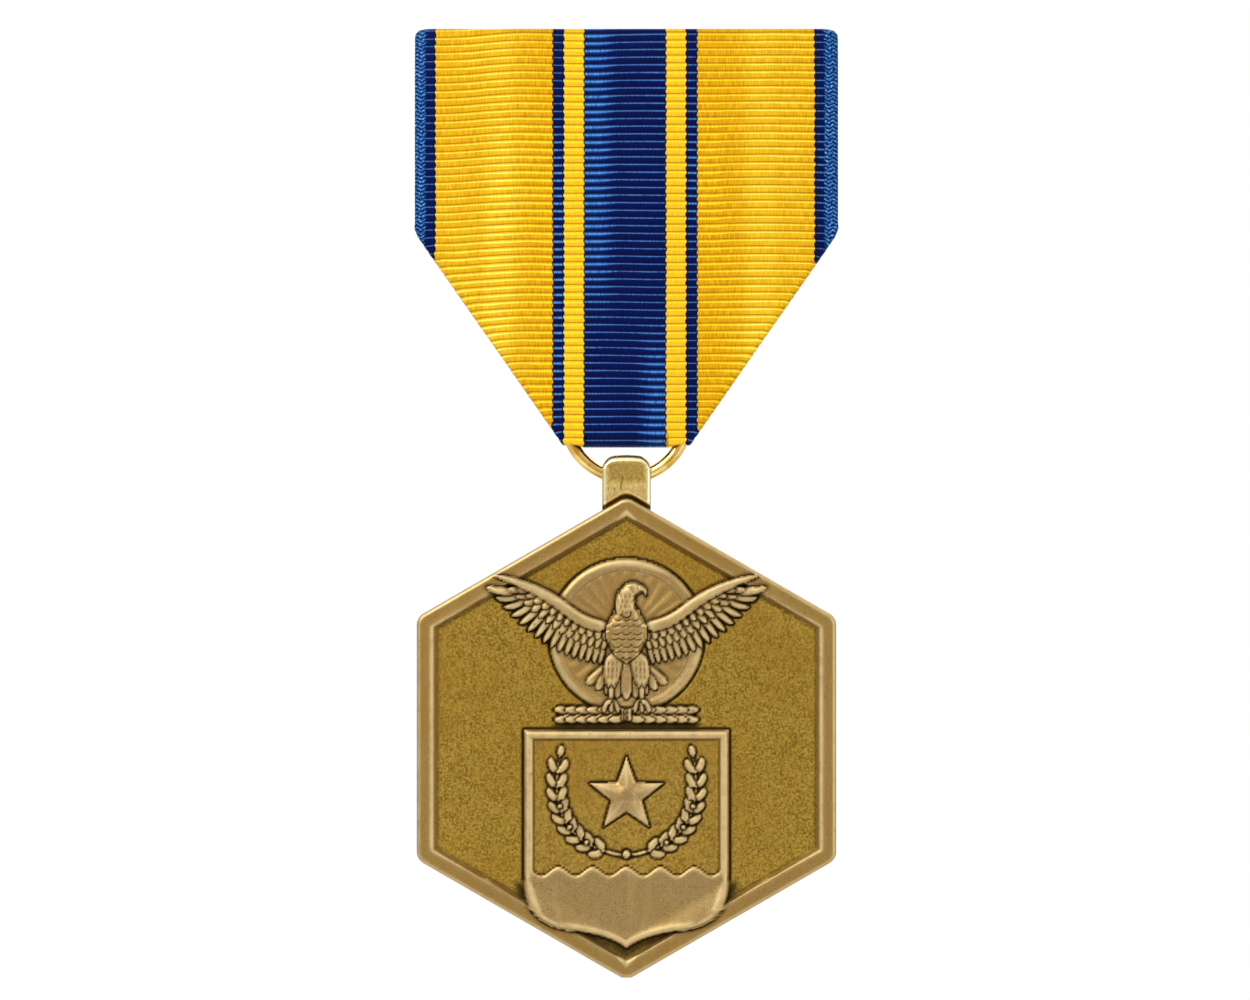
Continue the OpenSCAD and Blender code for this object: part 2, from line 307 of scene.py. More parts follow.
CLOTH_T = 0.36  # thickness between the ribs
CAD_CLOTH_T = 0.4
RIB_PITCH = 0.63
RIB_RISE = 0.045  # how far each rib stands out of either face
RIB_STEPS = (0.0, 0.1, 0.3, 0.5, 0.7, 0.9)
FOLD_R = 0.21  # radius of the middle layer at a mitre's fold
FOOT_HALF, FOOT_LIFT = 5.3, 0.25  # the mitres' lower corners
SHOULDER_H = 17.7  # the mitres' upper corners
TONGUE_HALF = 3.45  # half width of the tongue that goes through the ring
SELVAGE_W = 1.0
LEAN_Z = 1.8  # height at which the front begins to lean back
LEAN = 0.38  # how far it leans back at the top
PATH_STEP = 0.05
PATH_SOFT = 13  # steps over which the path's corners are rounded

front_y = ribbon_low[1] + CAD_CLOTH_T / 2
back_y = 2 * ring_y - front_y
seam_y = tail_y - CAD_CLOTH_T - 0.05
tongue_r = ring_y - front_y
tongue_top = CAD_CLOTH_T / 2 + tongue_r  # where the curve round the bottom fold ends, above the fold
wrap_r = (tail_y - front_y - LEAN) / 2
wrap_z = top_z - CAD_CLOTH_T / 2 - wrap_r
tail_end_z = bar_z - 4.0
rear_end_z = bar_z - 0.4
rear_bend_z = ring_high[2] + 2.0

MITRE_W, MITRE_H = half_w - FOOT_HALF, SHOULDER_H - FOOT_LIFT
SLANT = math.atan2(MITRE_H, MITRE_W)
SLANT_COS, SLANT_SIN = math.cos(SLANT), math.sin(SLANT)
FOLD_INSET = (FOLD_R + CLOTH_T / 2 + RIB_RISE / 2) / SLANT_SIN
H_TOP = SHOULDER_H + FOLD_INSET * MITRE_H / MITRE_W  # where the mitre's fold meets the cloth's edge


def ribbon_path():
    """The strip's middle line from its sewn end, round the bottom fold and over the bar.

    Given as v, y and z. v is the distance along it from the bottom fold, positive up the front.
    """
    rear = [(seam_y, rear_end_z), (seam_y, tail_end_z), (back_y, rear_bend_z), (back_y, fold_z + tongue_top)]
    fold = arc((ring_y, fold_z + tongue_top), tongue_r, 0, -180, 40)
    rise = wrap_z - LEAN_Z
    front = [(front_y, LEAN_Z)]
    front += [(front_y + LEAN * t**1.7, LEAN_Z + t * rise) for t in np.linspace(0.1, 0.95, 10)]
    wrap = arc((tail_y - wrap_r, wrap_z), wrap_r, 180, 0, 24)
    points = np.concatenate([rear, fold[1:], front, wrap, [(tail_y, tail_end_z)]])
    length = reach_along(points)
    at = np.arange(0, length[-1], PATH_STEP)
    kernel = np.hanning(PATH_SOFT)
    kernel /= kernel.sum()
    middle = []
    for values in points.T:
        padded = np.pad(np.interp(at, length, values), PATH_SOFT // 2, mode="reflect", reflect_type="odd")
        middle.append(np.convolve(padded, kernel, "valid"))
    y, z = middle
    length = reach_along(np.stack([y, z], 1))
    return length - length[np.argmin(z)], y, z


path_v, path_y, path_z = ribbon_path()
path_ty, path_tz = np.gradient(path_y, path_v), np.gradient(path_z, path_v)
V_START, V_END = path_v[0], path_v[-1]
V_FOOT = math.pi / 2 * tongue_r
V_TOP_LIMIT = 40  # past the top of the front


def v_at_height(height, front):
    """Distance along the strip at a height above the fold, on its front or its rear layer."""
    side = (path_v > V_FOOT) & (path_v < V_TOP_LIMIT) if front else path_v < -V_FOOT
    order = np.argsort(path_z[side])
    return float(np.interp(fold_z + height, path_z[side][order], path_v[side][order]))


def fold_start(height):
    """Half width of the cloth that stays flat at a height above the bottom fold."""
    slant = FOOT_HALF + (height - FOOT_LIFT) * MITRE_W / MITRE_H
    return np.minimum(np.maximum(slant, FOOT_HALF) - FOLD_INSET, half_w)


def rib_profile(v):
    """How far the cloth's surface stands out at v: round ribs with narrow valleys."""
    return RIB_RISE * (1 - np.abs(2 * np.mod(v / RIB_PITCH, 1) - 1) ** 2.4)


def waviness(u, v):
    """How far the ribs run out of true: a slow drift across the width, none near the ends and folds."""
    drift = 0.38 * smooth((-u - 8) / 7) + 0.03 * np.sin(u / 3.6 + v / 14) + 0.03 * np.sin(u / 1.9 - v / 9 + 1)
    return -drift * smooth((np.abs(v) - 3) / 6) * smooth((V_END - v) / 8) * smooth((v - V_START) / 4)


def layer(v, side, straight):
    """The middle line at v, and its normal. Straight cloth runs down past the bottom fold's curve."""
    y, z, ty, tz = (np.interp(v, path_v, line) for line in (path_y, path_z, path_ty, path_tz))
    if straight:
        below = np.maximum(V_FOOT - np.abs(v), 0)
        foot = below > 0
        y = np.where(foot, np.interp(side * V_FOOT, path_v, path_y), y)
        z = np.where(foot, np.interp(side * V_FOOT, path_v, path_z) - below, z)
        ty, tz = np.where(foot, 0.0, ty), np.where(foot, side, tz)
    size = np.hypot(ty, tz)
    return y, z, -tz / size, ty / size


def lay(u, v, straight):
    """Where flat cloth at (u, v) lies, with the mitres turned in: points and outward normals."""
    placed = v + waviness(u, v)
    side = np.where(v >= 0, 1.0, -1.0)
    flat_w = fold_start(layer(placed, side, straight)[1] - fold_z)
    over = np.maximum(np.abs(u) - flat_w, 0)
    along, across = over * SLANT_COS, over * SLANT_SIN
    turn = np.clip(across / FOLD_R, 0, math.pi)
    reach = FOLD_R * np.sin(turn) - np.maximum(across - math.pi * FOLD_R, 0)
    depth = FOLD_R * (1 - np.cos(turn))
    hand = np.sign(u)
    x = hand * (np.minimum(np.abs(u), flat_w) + along * SLANT_COS + reach * SLANT_SIN)
    lift = along * SLANT_SIN - reach * SLANT_COS
    y, z, ny, nz = layer(placed + side * lift, side, straight)
    points = np.stack([x, y - ny * depth, z - nz * depth], -1)
    cos_turn, sin_turn = np.cos(turn), np.sin(turn)
    normals = [hand * SLANT_SIN * sin_turn, ny * cos_turn, nz * cos_turn - SLANT_COS * sin_turn]
    round_off = smooth((top_z - 0.9 - points[..., 2]) / -0.9)
    points[..., 0] -= hand * 0.5 * round_off**2 * smooth((np.abs(u) - half_w + 1.6) / 1.6)
    return points, np.stack(normals, -1)


def thick_patch(build, u, v, walls="", straight=False):
    """Adds both faces of one patch of cloth, and walls at its first or last row (r, R) or column (c, C)."""
    u, v = np.broadcast_arrays(u, v)
    points, normals = lay(u, v, straight)
    selvage = smooth((np.abs(u) - half_w + SELVAGE_W) / 0.3)
    rise = rib_profile(v) * (1 - 0.7 * selvage) + 0.35 * rib_profile(2 * v + u * 0.9) * selvage
    half = (CLOTH_T / 2 + rise) * (1 - 0.55 * smooth((np.abs(u) - half_w + 0.3) / 0.3))
    face, rear = (build.add(points + sign * normals * half[..., None], u, v) for sign in (1, -1))
    build.quads(face)
    build.quads(rear[::-1])
    sides = {"r": np.s_[0], "R": np.s_[-1], "c": np.s_[:, 0], "C": np.s_[:, -1]}
    for side in walls:
        build.strip(face[sides[side]], rear[sides[side]])


def rib_rows(start, end):
    """Values of v from start to end: both ends, and every step of every rib between them."""
    low, high = sorted((start, end))
    ribs = np.arange(math.floor(low / RIB_PITCH), math.ceil(high / RIB_PITCH) + 1)
    steps = (ribs[:, None] + RIB_STEPS).ravel() * RIB_PITCH
    steps = steps[(steps > low + 0.02) & (steps < high - 0.02)]
    rows = np.concatenate([[low], steps, [high]])
    return rows if start < end else rows[::-1]


def make_ribbon():
    """The whole ribbon: one strip, folded over the bar and through the ring, its corners turned in."""
    build = Builder()
    foot_w = float(fold_start(tongue_top))
    foot_share = TONGUE_HALF / foot_w
    outer = np.linspace(foot_share, 1, 11)
    half_shares = np.concatenate([np.linspace(0, foot_share, 15), outer[1:]])
    shares = np.concatenate([-half_shares[:0:-1], half_shares])
    arc_steps = np.linspace(0, math.pi * FOLD_R / SLANT_SIN, 9)
    flap_steps = np.linspace(0, 1, 7)[1:]
    foot_steps = np.linspace(1, 0, 9)[:, None]

    tongue = rib_rows(-V_FOOT, V_FOOT)[:, None]
    thick_patch(build, TONGUE_HALF * (shares[10:-10] / foot_share), tongue, "cC")

    for front, sign, end in ((True, 1, V_END), (False, -1, V_START)):
        v_top = v_at_height(H_TOP, front)
        lower = rib_rows(sign * V_FOOT, v_top)
        widths = fold_start(np.interp(lower, path_v, path_z) - fold_z)
        widths[0], widths[-1] = foot_w, half_w
        thick_patch(build, shares * widths[:, None], lower[:, None])
        thick_patch(build, shares * half_w, rib_rows(v_top, end)[:, None], "RcC")
        for hand in (1, -1):
            # the straight stretch beside the tongue, down to the turned-up corner
            across = outer * foot_w
            lift = FOOT_LIFT * np.clip((across - TONGUE_HALF) / (FOOT_HALF - TONGUE_HALF), 0, 1)
            lowest = V_FOOT - (tongue_top - lift)
            v = sign * (V_FOOT + (lowest - V_FOOT) * foot_steps)
            height = tongue_top - (V_FOOT - np.abs(v))
            spread = (outer - foot_share) / (1 - foot_share)
            u = across + (fold_start(height[:, -1:]) - foot_w) * spread
            thick_patch(build, hand * u, v, "rc", straight=True)
            # the corner that is turned in behind the slanted edge
            v = np.concatenate([v[:, -1], lower[1:]])[:, None]
            start = np.concatenate([u[:, -1], widths[1:]])[:, None]
            room = half_w - start
            curl = np.minimum(arc_steps, room)
            flap = np.minimum(arc_steps[-1] + np.maximum(room - arc_steps[-1], 0) * flap_steps, room)
            thick_patch(build, hand * (start + np.concatenate([curl, flap], 1)), v, "rC", straight=True)
    return build.finish("ribbon_cloth", "across", "along")


NARROW_STRIPE = (3.4, 5.02)  # from and to, from the middle
WIDE_STRIPE = (5.98, 15.62)
MIDDLE_HALF = 3.45  # half width of the blue middle
STRIPE_EDGE = 0.025  # how soft a stripe's edges are
SHADOW_W = 0.12  # how far the painted shade beside a stripe reaches
WEAVE_SHIFT = 0.12  # how far the pattern stands off the middle


def ribbon_material():
    """Ribbed, striped rayon: colours by place across the strip, painted highlights on the ridges and painted
    shade in the valleys along it, and painted sheen.
    """
    s = Shader("ribbon_weave", Roughness=0.5, Sheen_Weight=0.06, Sheen_Roughness=0.4, Specular_IOR_Level=0.05)
    u, v = s.attribute("across"), s.attribute("along")
    phase = s.math("FRACT", v / RIB_PITCH)
    rib = s.math("FLOOR", v / RIB_PITCH)
    threads = s.flat_noise(u * 9.0, v * 1.1)
    jitter = s.flat_noise(rib * 3.7, u * 0.35, 1.0)
    wiggle = s.math("SINE", phase * (2 * math.pi)) * 0.05
    edge = abs(u + WEAVE_SHIFT) + wiggle + (jitter - 0.5) * 0.16

    def inside(stripe, more=0.0):
        """1 where the place across the strip is in a stripe made wider at both sides."""
        low, high = stripe[0] - more, stripe[1] + more
        start = s.span(edge, low - STRIPE_EDGE, low + STRIPE_EDGE)
        return start * s.span(edge, high - STRIPE_EDGE, high + STRIPE_EDGE, 1.0, 0.0)

    def band(middle, flat, far):
        """1 within flat of a place across the strip, fading to 0 at far from it."""
        return s.span(abs(u - middle), flat, far, 1.0, 0.0)

    narrow = inside(NARROW_STRIPE)
    yellow = s.math("ADD", narrow, inside(WIDE_STRIPE), use_clamp=True)
    beside = s.math("ADD", inside(NARROW_STRIPE, SHADOW_W), inside(WIDE_STRIPE, SHADOW_W), use_clamp=True)
    # painted sheen: soft lighter zones on the yellow, and zones where the blue catches the light
    sheen_bands = s.higher(band(-10.6, 0.5, 2.4), band(11.2, 0.5, 2.4))
    broad = s.higher(band(-12.2, 2.4, 5.2), band(12.4, 1.6, 4.4))
    sheen_bands = s.higher(sheen_bands, broad * 0.5)
    sheen_bands = sheen_bands * s.span(v, 33.0, 20.0, 0.7, 1.0) * s.span(jitter, 0.25, 0.7, 0.6, 1.0)
    upper = s.span(u, -0.4, -2.4) * s.span(v, 8.0, 18.0)
    lower = s.span(u, 0.4, 2.4) * s.span(v, 13.0, 5.0)
    middle = s.span(edge, MIDDLE_HALF + 0.15, MIDDLE_HALF - 0.15)
    lit = s.higher(upper, lower) * middle
    sheen = s.span(s.flat_noise(u * 0.16, v * 0.035), 0.42, 0.66)
    sheen = s.higher(sheen * (1.0 - middle * 0.6), lit)
    # each rib: a painted highlight on the ridge above its middle, and painted shade in the valley on either
    # side
    away = abs(phase - (0.74 - sheen * 0.12)) / (0.085 + sheen * 0.09)
    ridge = s.span(away, 0.25, 1.2, 1.0, 0.0) * s.span(threads, 0.2, 0.6, 0.75, 1.0)
    valley = s.span(abs(phase - 0.5), 0.36, 0.5)

    gold = s.mix(s.span(threads, 0.3, 0.7), srgb(194, 134, 0), srgb(226, 172, 14))
    # painted sheen on the yellow
    gold = s.mix(sheen_bands * 0.42, gold, srgb(244, 208, 44))
    gold = s.mix(narrow * 0.5, gold, srgb(244, 206, 44))
    # painted highlight on each rib's ridge, and painted shade in its valleys
    gold = s.mix(ridge, gold, s.mix(sheen_bands, srgb(250, 212, 40), srgb(255, 236, 100)))
    gold = s.mix(valley * 0.8, gold, srgb(158, 94, 4))
    navy = s.mix(threads, srgb(0, 3, 50), srgb(0, 20, 84))
    # painted sheen where the blue catches the light
    blue_sheen = lit * s.span(threads, 0.3, 0.6, 0.5, 1.0) * s.span(away, 0.8, 3.0, 1.0, 0.0)
    navy = s.mix(blue_sheen, navy, srgb(10, 58, 122))
    # painted highlights along the ridges of the blue ribs
    blue_ridge_highlight = ridge * s.span(threads, 0.34, 0.6, 0.5, 1.0) * (0.55 + sheen * 0.45)
    navy = s.mix(blue_ridge_highlight, navy, srgb(84, 142, 214))
    # painted shade in the valleys of the blue ribs
    navy = s.mix(valley * 0.75, navy, srgb(0, 1, 24))
    # painted shade beside the yellow stripes
    navy = s.mix(beside * 0.8, navy, srgb(0, 2, 22))
    # the selvage: two columns of slanted beads
    turns = s.math("PINGPONG", edge - (half_w - SELVAGE_W), 0.36)
    zigzag = s.math("FRACT", v * 3.1 + turns * 1.9)
    beads = s.span(abs(zigzag - 0.5), 0.12, 0.36)
    fleck = s.flat_noise(u * 6.0, v * 6.0)
    edging = s.mix(beads, srgb(2, 16, 76), srgb(40, 104, 170))
    edging = s.mix(s.span(fleck, 0.52, 0.68) * beads, edging, srgb(120, 184, 228))
    edging = s.mix(s.span(fleck, 0.46, 0.34), edging, srgb(0, 14, 74))
    selvage = s.span(edge, half_w - SELVAGE_W - 0.05, half_w - SELVAGE_W + 0.15)
    colour = s.mix(selvage, s.mix(yellow, navy, gold), edging)
    return s.set(Base_Color=colour, Normal=s.bump(threads, 0.25, 0.05))


ribbon = make_ribbon()
place_piece(ribbon, ribbon_material(), "ribbon", "drape")
(V_END - V_START) * MM


# ---------------------------------------------------------------- medallion: shape of the blank

FLATS = medal_high[0] - medal_low[0]  # width across the flats
CORNER_R = 1.1
EDGE_R = 0.36  # rounding between the faces and the edge
RIM_W = 1.28
FIELD_DEPTH = 0.55
RIM_SLOPE = 0.36  # width of the slope from the rim down to the field
FACE_A, FACE_R = FLATS / 2 - EDGE_R, CORNER_R - EDGE_R  # half width and corner radius of each face
FIELD_A = FLATS / 2 - RIM_W
TABLET_HALF, TABLET_TALL, TABLET_CORNER = 8.5, 4.5, 1.2  # half sizes of the reverse's tablet
FINE_HALF = 11.6  # half width of the part of each row where the points are close together
FINE_LOW, FINE_HIGH = -9.8, 13.8  # and the rows where they are
TIP_H = 0.4  # height of the hexagon's tips, whose rows are closest
LINE_W = 0.12  # width of the dark line round a shape that lies on another
GAP_W = 0.19  # the same where the shape stands straight on the field
CLIMB, CLIMB_W = 0.3, 2.0  # how much higher a shape stands at the rim, and how near it starts to rise


def half_width(z, apothem, corner):
    """Half width at height z of a pointed-top hexagon with round corners."""
    z = np.abs(z)
    inner = apothem - corner
    side_z, tip_z = inner / math.sqrt(3), 2 * inner / math.sqrt(3)
    lean = corner * math.sin(math.pi / 3)
    round_side = inner + np.sqrt(np.clip(corner**2 - (z - side_z) ** 2, 0, None))
    slanted = 2 * apothem - z * math.sqrt(3)
    round_top = np.sqrt(np.clip(corner**2 - (z - tip_z) ** 2, 0, None))
    stretches = [z <= side_z, z <= side_z + lean, z <= tip_z + lean]
    return np.select(stretches, [apothem + 0 * z, round_side, slanted], round_top)


def hexagon_distance(x, z, apothem, corner=0.0):
    """Distance outside such a hexagon, negative inside."""
    a, b = np.abs(x), np.abs(z)
    inner = apothem - corner
    across = a / 2 + b * math.sqrt(3) / 2
    slanted = across > a
    along = np.where(slanted, np.abs(a * math.sqrt(3) / 2 - b / 2), b)
    across = np.where(slanted, across, a)
    past = np.maximum(along - inner / math.sqrt(3), 0)
    return np.hypot(np.maximum(across - inner, 0), past) + np.minimum(across - inner, 0) - corner


def outward(x, z):
    """Direction out of the medallion at a point on its outline."""
    step = 0.001
    slope = []
    for dx, dz in ((step, 0), (0, step)):
        ahead = hexagon_distance(x + dx, z + dz, FACE_A, FACE_R)
        slope.append(ahead - hexagon_distance(x - dx, z - dz, FACE_A, FACE_R))
    return np.stack(slope, -1) / np.hypot(*slope)[..., None]


def medal_rows():
    """Heights of the rows of points: close together over the emblem and at the two points of the hexagon."""
    tip = 2 * (FACE_A - FACE_R) / math.sqrt(3) + FACE_R
    ends = (-tip, -tip + TIP_H, FINE_LOW, FINE_HIGH, tip - TIP_H, tip)
    zones = zip(ends, ends[1:], (9, 54, 230, 32, 9))
    return np.concatenate([np.linspace(low, high, count + 1)[1:] for low, high, count in zones])


def face_grid(rows, fine, coarse, rim):
    """Points over one face, rows by columns, as x and z.

    fine is where the middle's columns stand, as shares. coarse and rim are counts in each half.
    """
    outer = half_width(rows, FACE_A, FACE_R)[:, None]
    inner = np.maximum(half_width(rows, FIELD_A, 0.0)[:, None], 0.35 * outer)
    middle = np.minimum(FINE_HALF, 0.985 * inner)
    to_rim, over_rim = (np.linspace(0, 1, n + 1)[1:] for n in (coarse, rim))
    to_rim = 1 - (1 - to_rim) ** 1.8
    columns = [middle * fine, middle + (inner - middle) * to_rim, inner + (outer - inner) * over_rim]
    half = np.concatenate(columns, 1)
    x = np.concatenate([-half[:, ::-1], np.zeros((len(rows), 1)), half], 1)
    return x, np.broadcast_to(rows[:, None], x.shape)


# ---------------------------------------------------------------- medallion: relief


def to_span(x, z, a, way):
    """Distance from each point to the span from a along way, how far along it (0 to 1), and the offset."""
    px, pz = x - a[0], z - a[1]
    t = np.clip((px * way[0] + pz * way[1]) / (way @ way), 0, 1)
    return np.hypot(px - t * way[0], pz - t * way[1]), t, px, pz


def to_polyline(x, z, line):
    """Distance from each point to a line, how far along it that is (0 to 1) and on which side."""
    ends = reach_along(line)
    ends = ends / ends[-1]
    best, along, side = np.full(x.shape, 1e9), np.zeros(x.shape), np.zeros(x.shape)
    for i, way in enumerate(np.diff(line, axis=0)):
        gap, t, px, pz = to_span(x, z, line[i], way)
        near = gap < best
        best = np.where(near, gap, best)
        along = np.where(near, ends[i] + t * (ends[i + 1] - ends[i]), along)
        side = np.where(near, np.sign(px * way[1] - pz * way[0]), side)
    return best, along, side


def outline_distance(x, z, outline):
    """Distance to a closed outline, negative inside it."""
    best, inside = np.full(x.shape, 1e9), np.zeros(x.shape, bool)
    for a, b in zip(outline, np.roll(outline, -1, axis=0)):
        way = b - a
        if not way.any():
            continue
        gap, _, _, pz = to_span(x, z, a, way)
        best = np.minimum(best, gap)
        if way[1]:
            inside ^= ((a[1] > z) != (b[1] > z)) & (x < a[0] + pz / way[1] * way[0])
    return np.where(inside, -best, best)


class Relief:
    """A struck face: each point's height, how far it belongs to a raised shape, and how dark it is."""

    def __init__(self, x, z):
        self.x, self.z = x, z
        edge = hexagon_distance(x, z, FIELD_A)
        self.rim = smooth(edge / RIM_SLOPE + 1)
        self.climb = CLIMB * smooth(edge / CLIMB_W + 1)
        trough = np.sin(math.pi * np.clip(edge / RIM_W, 0, 1))
        self.height = -FIELD_DEPTH * (1 - self.rim) - 0.03 * trough
        self.raised = smooth(edge / (RIM_SLOPE + 0.1) + 1) * (1 - 0.4 * trough)
        foot = 0.5 * bell(edge + RIM_SLOPE, 0.15)
        self.ink = foot + 0.2 * smooth((edge + 1.9) / 1.5) * (edge < -RIM_SLOPE)

    def near(self, points, margin):
        """The points of the face round a shape: their index, and where they are."""
        low, high = np.min(points, 0) - margin, np.max(points, 0) + margin
        at = (self.x > low[0]) & (self.x < high[0]) & (self.z > low[1]) & (self.z < high[1])
        at = np.nonzero(at)
        return at, self.x[at], self.z[at]

    def darken(self, at, amount):
        """Old patina that stays in the hollows."""
        self.ink[at] = np.maximum(self.ink[at], amount)

    def place(self, at, distance, level, soft, dark=1.0):
        """Lays a shape on the face, level over the field, with a rounded edge as wide as soft."""
        outside = distance >= 0
        bare = 1 - self.raised[at]
        line = np.maximum(smooth(1.6 - distance / LINE_W), bare * smooth(1.6 - distance / GAP_W)) * outside
        halo = 0.62 * bell(distance, 0.4) * outside
        self.darken(at, dark * np.maximum(line, halo))
        self.height[at] -= 0.07 * dark * line
        share = 1 - np.clip(-distance / soft, 0, 1)
        shape = (level + self.climb[at]) * np.sqrt(1 - share**2) - FIELD_DEPTH
        now = self.height[at]
        self.height[at] = np.where(outside, now, np.maximum(shape, now - 0.05))
        self.raised[at] = np.where(outside, self.raised[at], 1)
        self.ink[at] *= np.where(outside, 1, np.clip(1 + distance / 0.08, 0, 1))

    def cut(self, line, dark=0.8, width=0.08, depth=0.05):
        """Cuts a fine tapered line into what is there."""
        at, x, z = self.near(line, 0.4)
        gap, along, _ = to_polyline(x, z, np.asarray(line))
        mark = bell(gap, width * (0.5 + 0.5 * np.sin(math.pi * along)))
        self.darken(at, dark * mark)
        self.height[at] -= depth * mark

    def area(self, outline, level, soft=0.3, dome=0.0, dark=1.0):
        """A raised area inside a closed outline."""
        at, x, z = self.near(outline, 0.6)
        distance = outline_distance(x, z, outline)
        self.place(at, distance, level + dome * smooth(-distance / 1.2), soft, dark)

    def stroke(self, line, width, level, dome=0.1, root=0.3, tip=0.4, tilt=0.0, vein=0.0, dark=0.9):
        """A leaf or feather along a line, width mm to each side. root and tip are the shares that taper."""
        at, x, z = self.near(line, width + 0.5)
        gap, along, side = to_polyline(x, z, np.asarray(line))
        widen = 0.35 + 0.65 * smooth(along / root)
        narrow = np.sqrt(1 - np.clip((along - 1 + tip) / tip, 0, 1) ** 2)
        half = np.maximum(width * widen * narrow, 0.03)
        share = np.clip(gap / half, 0, 1)
        groove = vein * bell(gap, 0.07) * smooth(along / 0.15)
        self.place(at, gap - half, level + dome * (1 - share**2) + tilt * side * share - groove, 0.13, dark)
        self.darken(at, 4 * groove * (gap < half))

    def disc(self, centre, radius):
        """A small ball."""
        self.area(arc(centre, radius, 0, 360, 17)[:-1], 0.55, 0.15)


SUN_Z, SUN_R, SUN_RAYS = 8.45, 6.4, 30
PERCH_Z = 1.95
SHIELD_TOP, SHIELD_HALF = 0.7, 8.45
BASE_Z = -10.95  # the wavy line's middle
WAVE_H, WAVE_L = 0.36, 2.8
STAR_Z, STAR_R = -4.7, 3.2
FEATHERS = 16


def sun(face):
    """A plain disc behind the bird, with a rolled edge and shallow rays."""
    at, x, z = face.near([(-SUN_R, SUN_Z - SUN_R), (SUN_R, SUN_Z + SUN_R)], 0.6)
    distance = np.hypot(x, z - SUN_Z) - SUN_R
    inside = smooth((-1.0 - distance) / 0.3)
    rays = np.cos(np.arctan2(x, z - SUN_Z) * SUN_RAYS) * smooth((distance + SUN_R - 1.5) / 2) * inside
    roll = 0.1 * bell(distance + 0.48, 0.3)
    face.place(at, distance, 0.2 + 0.045 * rays + roll, 0.3)
    face.darken(at, 0.45 * bell(distance + 0.98, 0.12) * (distance < 0))
    face.raised[at] *= 1 - 0.25 * inside


def garland(face):
    """The bound bar of leaves that the bird stands on."""
    face.stroke([(-5.5, PERCH_Z), (5.5, PERCH_Z)], 0.36, 0.28, tip=0.05, root=0.05)
    for hand in (1, -1):
        for x in np.linspace(4.95, 0.45, 6):
            for lean in (1, -1):
                bend, tip = (x + 0.1, PERCH_Z + lean * 0.5), (x + 1.0, PERCH_Z + lean * 0.4)
                face.stroke(curve((x - 0.55, PERCH_Z), bend, tip, 7) * (hand, 1), 0.31, 0.36, vein=0.04)
    for x in (-0.24, 0, 0.24):
        face.stroke([(x, PERCH_Z - 0.53), (x, PERCH_Z + 0.53)], 0.13, 0.5, 0.05, root=0.1, tip=0.15)


def along_edge(edge, share):
    """The point a given share of the way along a line."""
    reach = reach_along(edge)
    return np.array([np.interp(share * reach[-1], reach, values) for values in edge.T])


def wing(face, hand):
    """One raised wing: flight feathers, two rows of coverts over their roots, and the bare leading edge."""
    flip = (hand, 1)
    inner = curve((0.9, 9.2), (3.0, 8.9), (5.0, 10.6), 9)
    edge = np.concatenate([inner, curve((5.0, 10.6), (7.2, 12.4), (10.9, 13.35), 9)[1:]])
    for share in np.linspace(0, 1, FEATHERS):
        root = along_edge(edge, 0.08 + 0.7 * share) - (0, 0.15)
        tip = np.array([2.2 + 9.25 * share**1.1, 6.2 + 1.1 * share + 5.2 * share**2.4])
        feather = curve(root, (root + tip) / 2 + (0.15, -0.4 - 0.3 * share), tip, 9)
        face.stroke(feather * flip, 0.35, 0.3 + 0.04 * share, tilt=0.05 * hand, tip=0.5, dark=1)
    for less, reach, level, width in ((2, 0.58, 0.38, 0.3), (4, 0.33, 0.43, 0.26)):
        for share in np.linspace(0, 1, FEATHERS - less):
            root = along_edge(edge, 0.06 + 0.66 * share) - (0, 0.1)
            far = np.array([2.2 + 8.8 * share**1.1, 6.2 + 1.3 * share + 4.9 * share**2.4])
            tip = root + (far - root) * reach
            bend = (root + tip) / 2 + (0.06, -0.12)
            face.stroke(curve(root, bend, tip, 6) * flip, width, level, 0.08, tilt=0.04 * hand, tip=0.35)
    face.stroke((edge + (0, 0.1)) * flip, 0.5, 0.46, 0.12, root=0.15, tip=0.8)


def tail(face):
    """A short fan of tail feathers, behind the legs."""
    for lean in (-1, 1, -0.75, 0.75, -0.5, 0.5, -0.25, 0.25, 0):
        feather = curve((0.4 * lean, 6.9), (1.7 * lean, 5.7), (3.3 * lean, 3.2 + 1.3 * abs(lean) ** 1.6), 8)
        face.stroke(feather, 0.42, 0.28, root=0.5, tip=0.25, vein=0.03)


def leg(face, hand):
    """A feathered thigh, a short shank and three toes on the bar."""
    flip = (hand, 1)
    face.stroke(curve((0.75, 7.3), (1.3, 5.9), (1.25, 4.0), 9) * flip, 0.74, 0.42, 0.14, tip=0.7)
    for row in range(4):
        for lean in (-0.32, 0.04, 0.38):
            x, z = 1.06 + lean + 0.04 * row, 6.5 - 0.58 * row - 0.1 * (lean > 0)
            face.cut(np.array([(x, z), (x + 0.03, z - 0.42)]) * flip, 0.6)
    face.stroke(np.array([(1.26, 4.2), (1.28, 3.0)]) * flip, 0.2, 0.42, root=0.1, tip=0.1)
    for toe in (-0.45, 0.0, 0.45):
        claw = curve((1.28, 3.1), (1.28 + toe, 3.05), (1.28 + toe * 1.35, 2.15), 6)
        face.stroke(claw * flip, 0.2, 0.5, 0.08, root=0.1, tip=0.5)


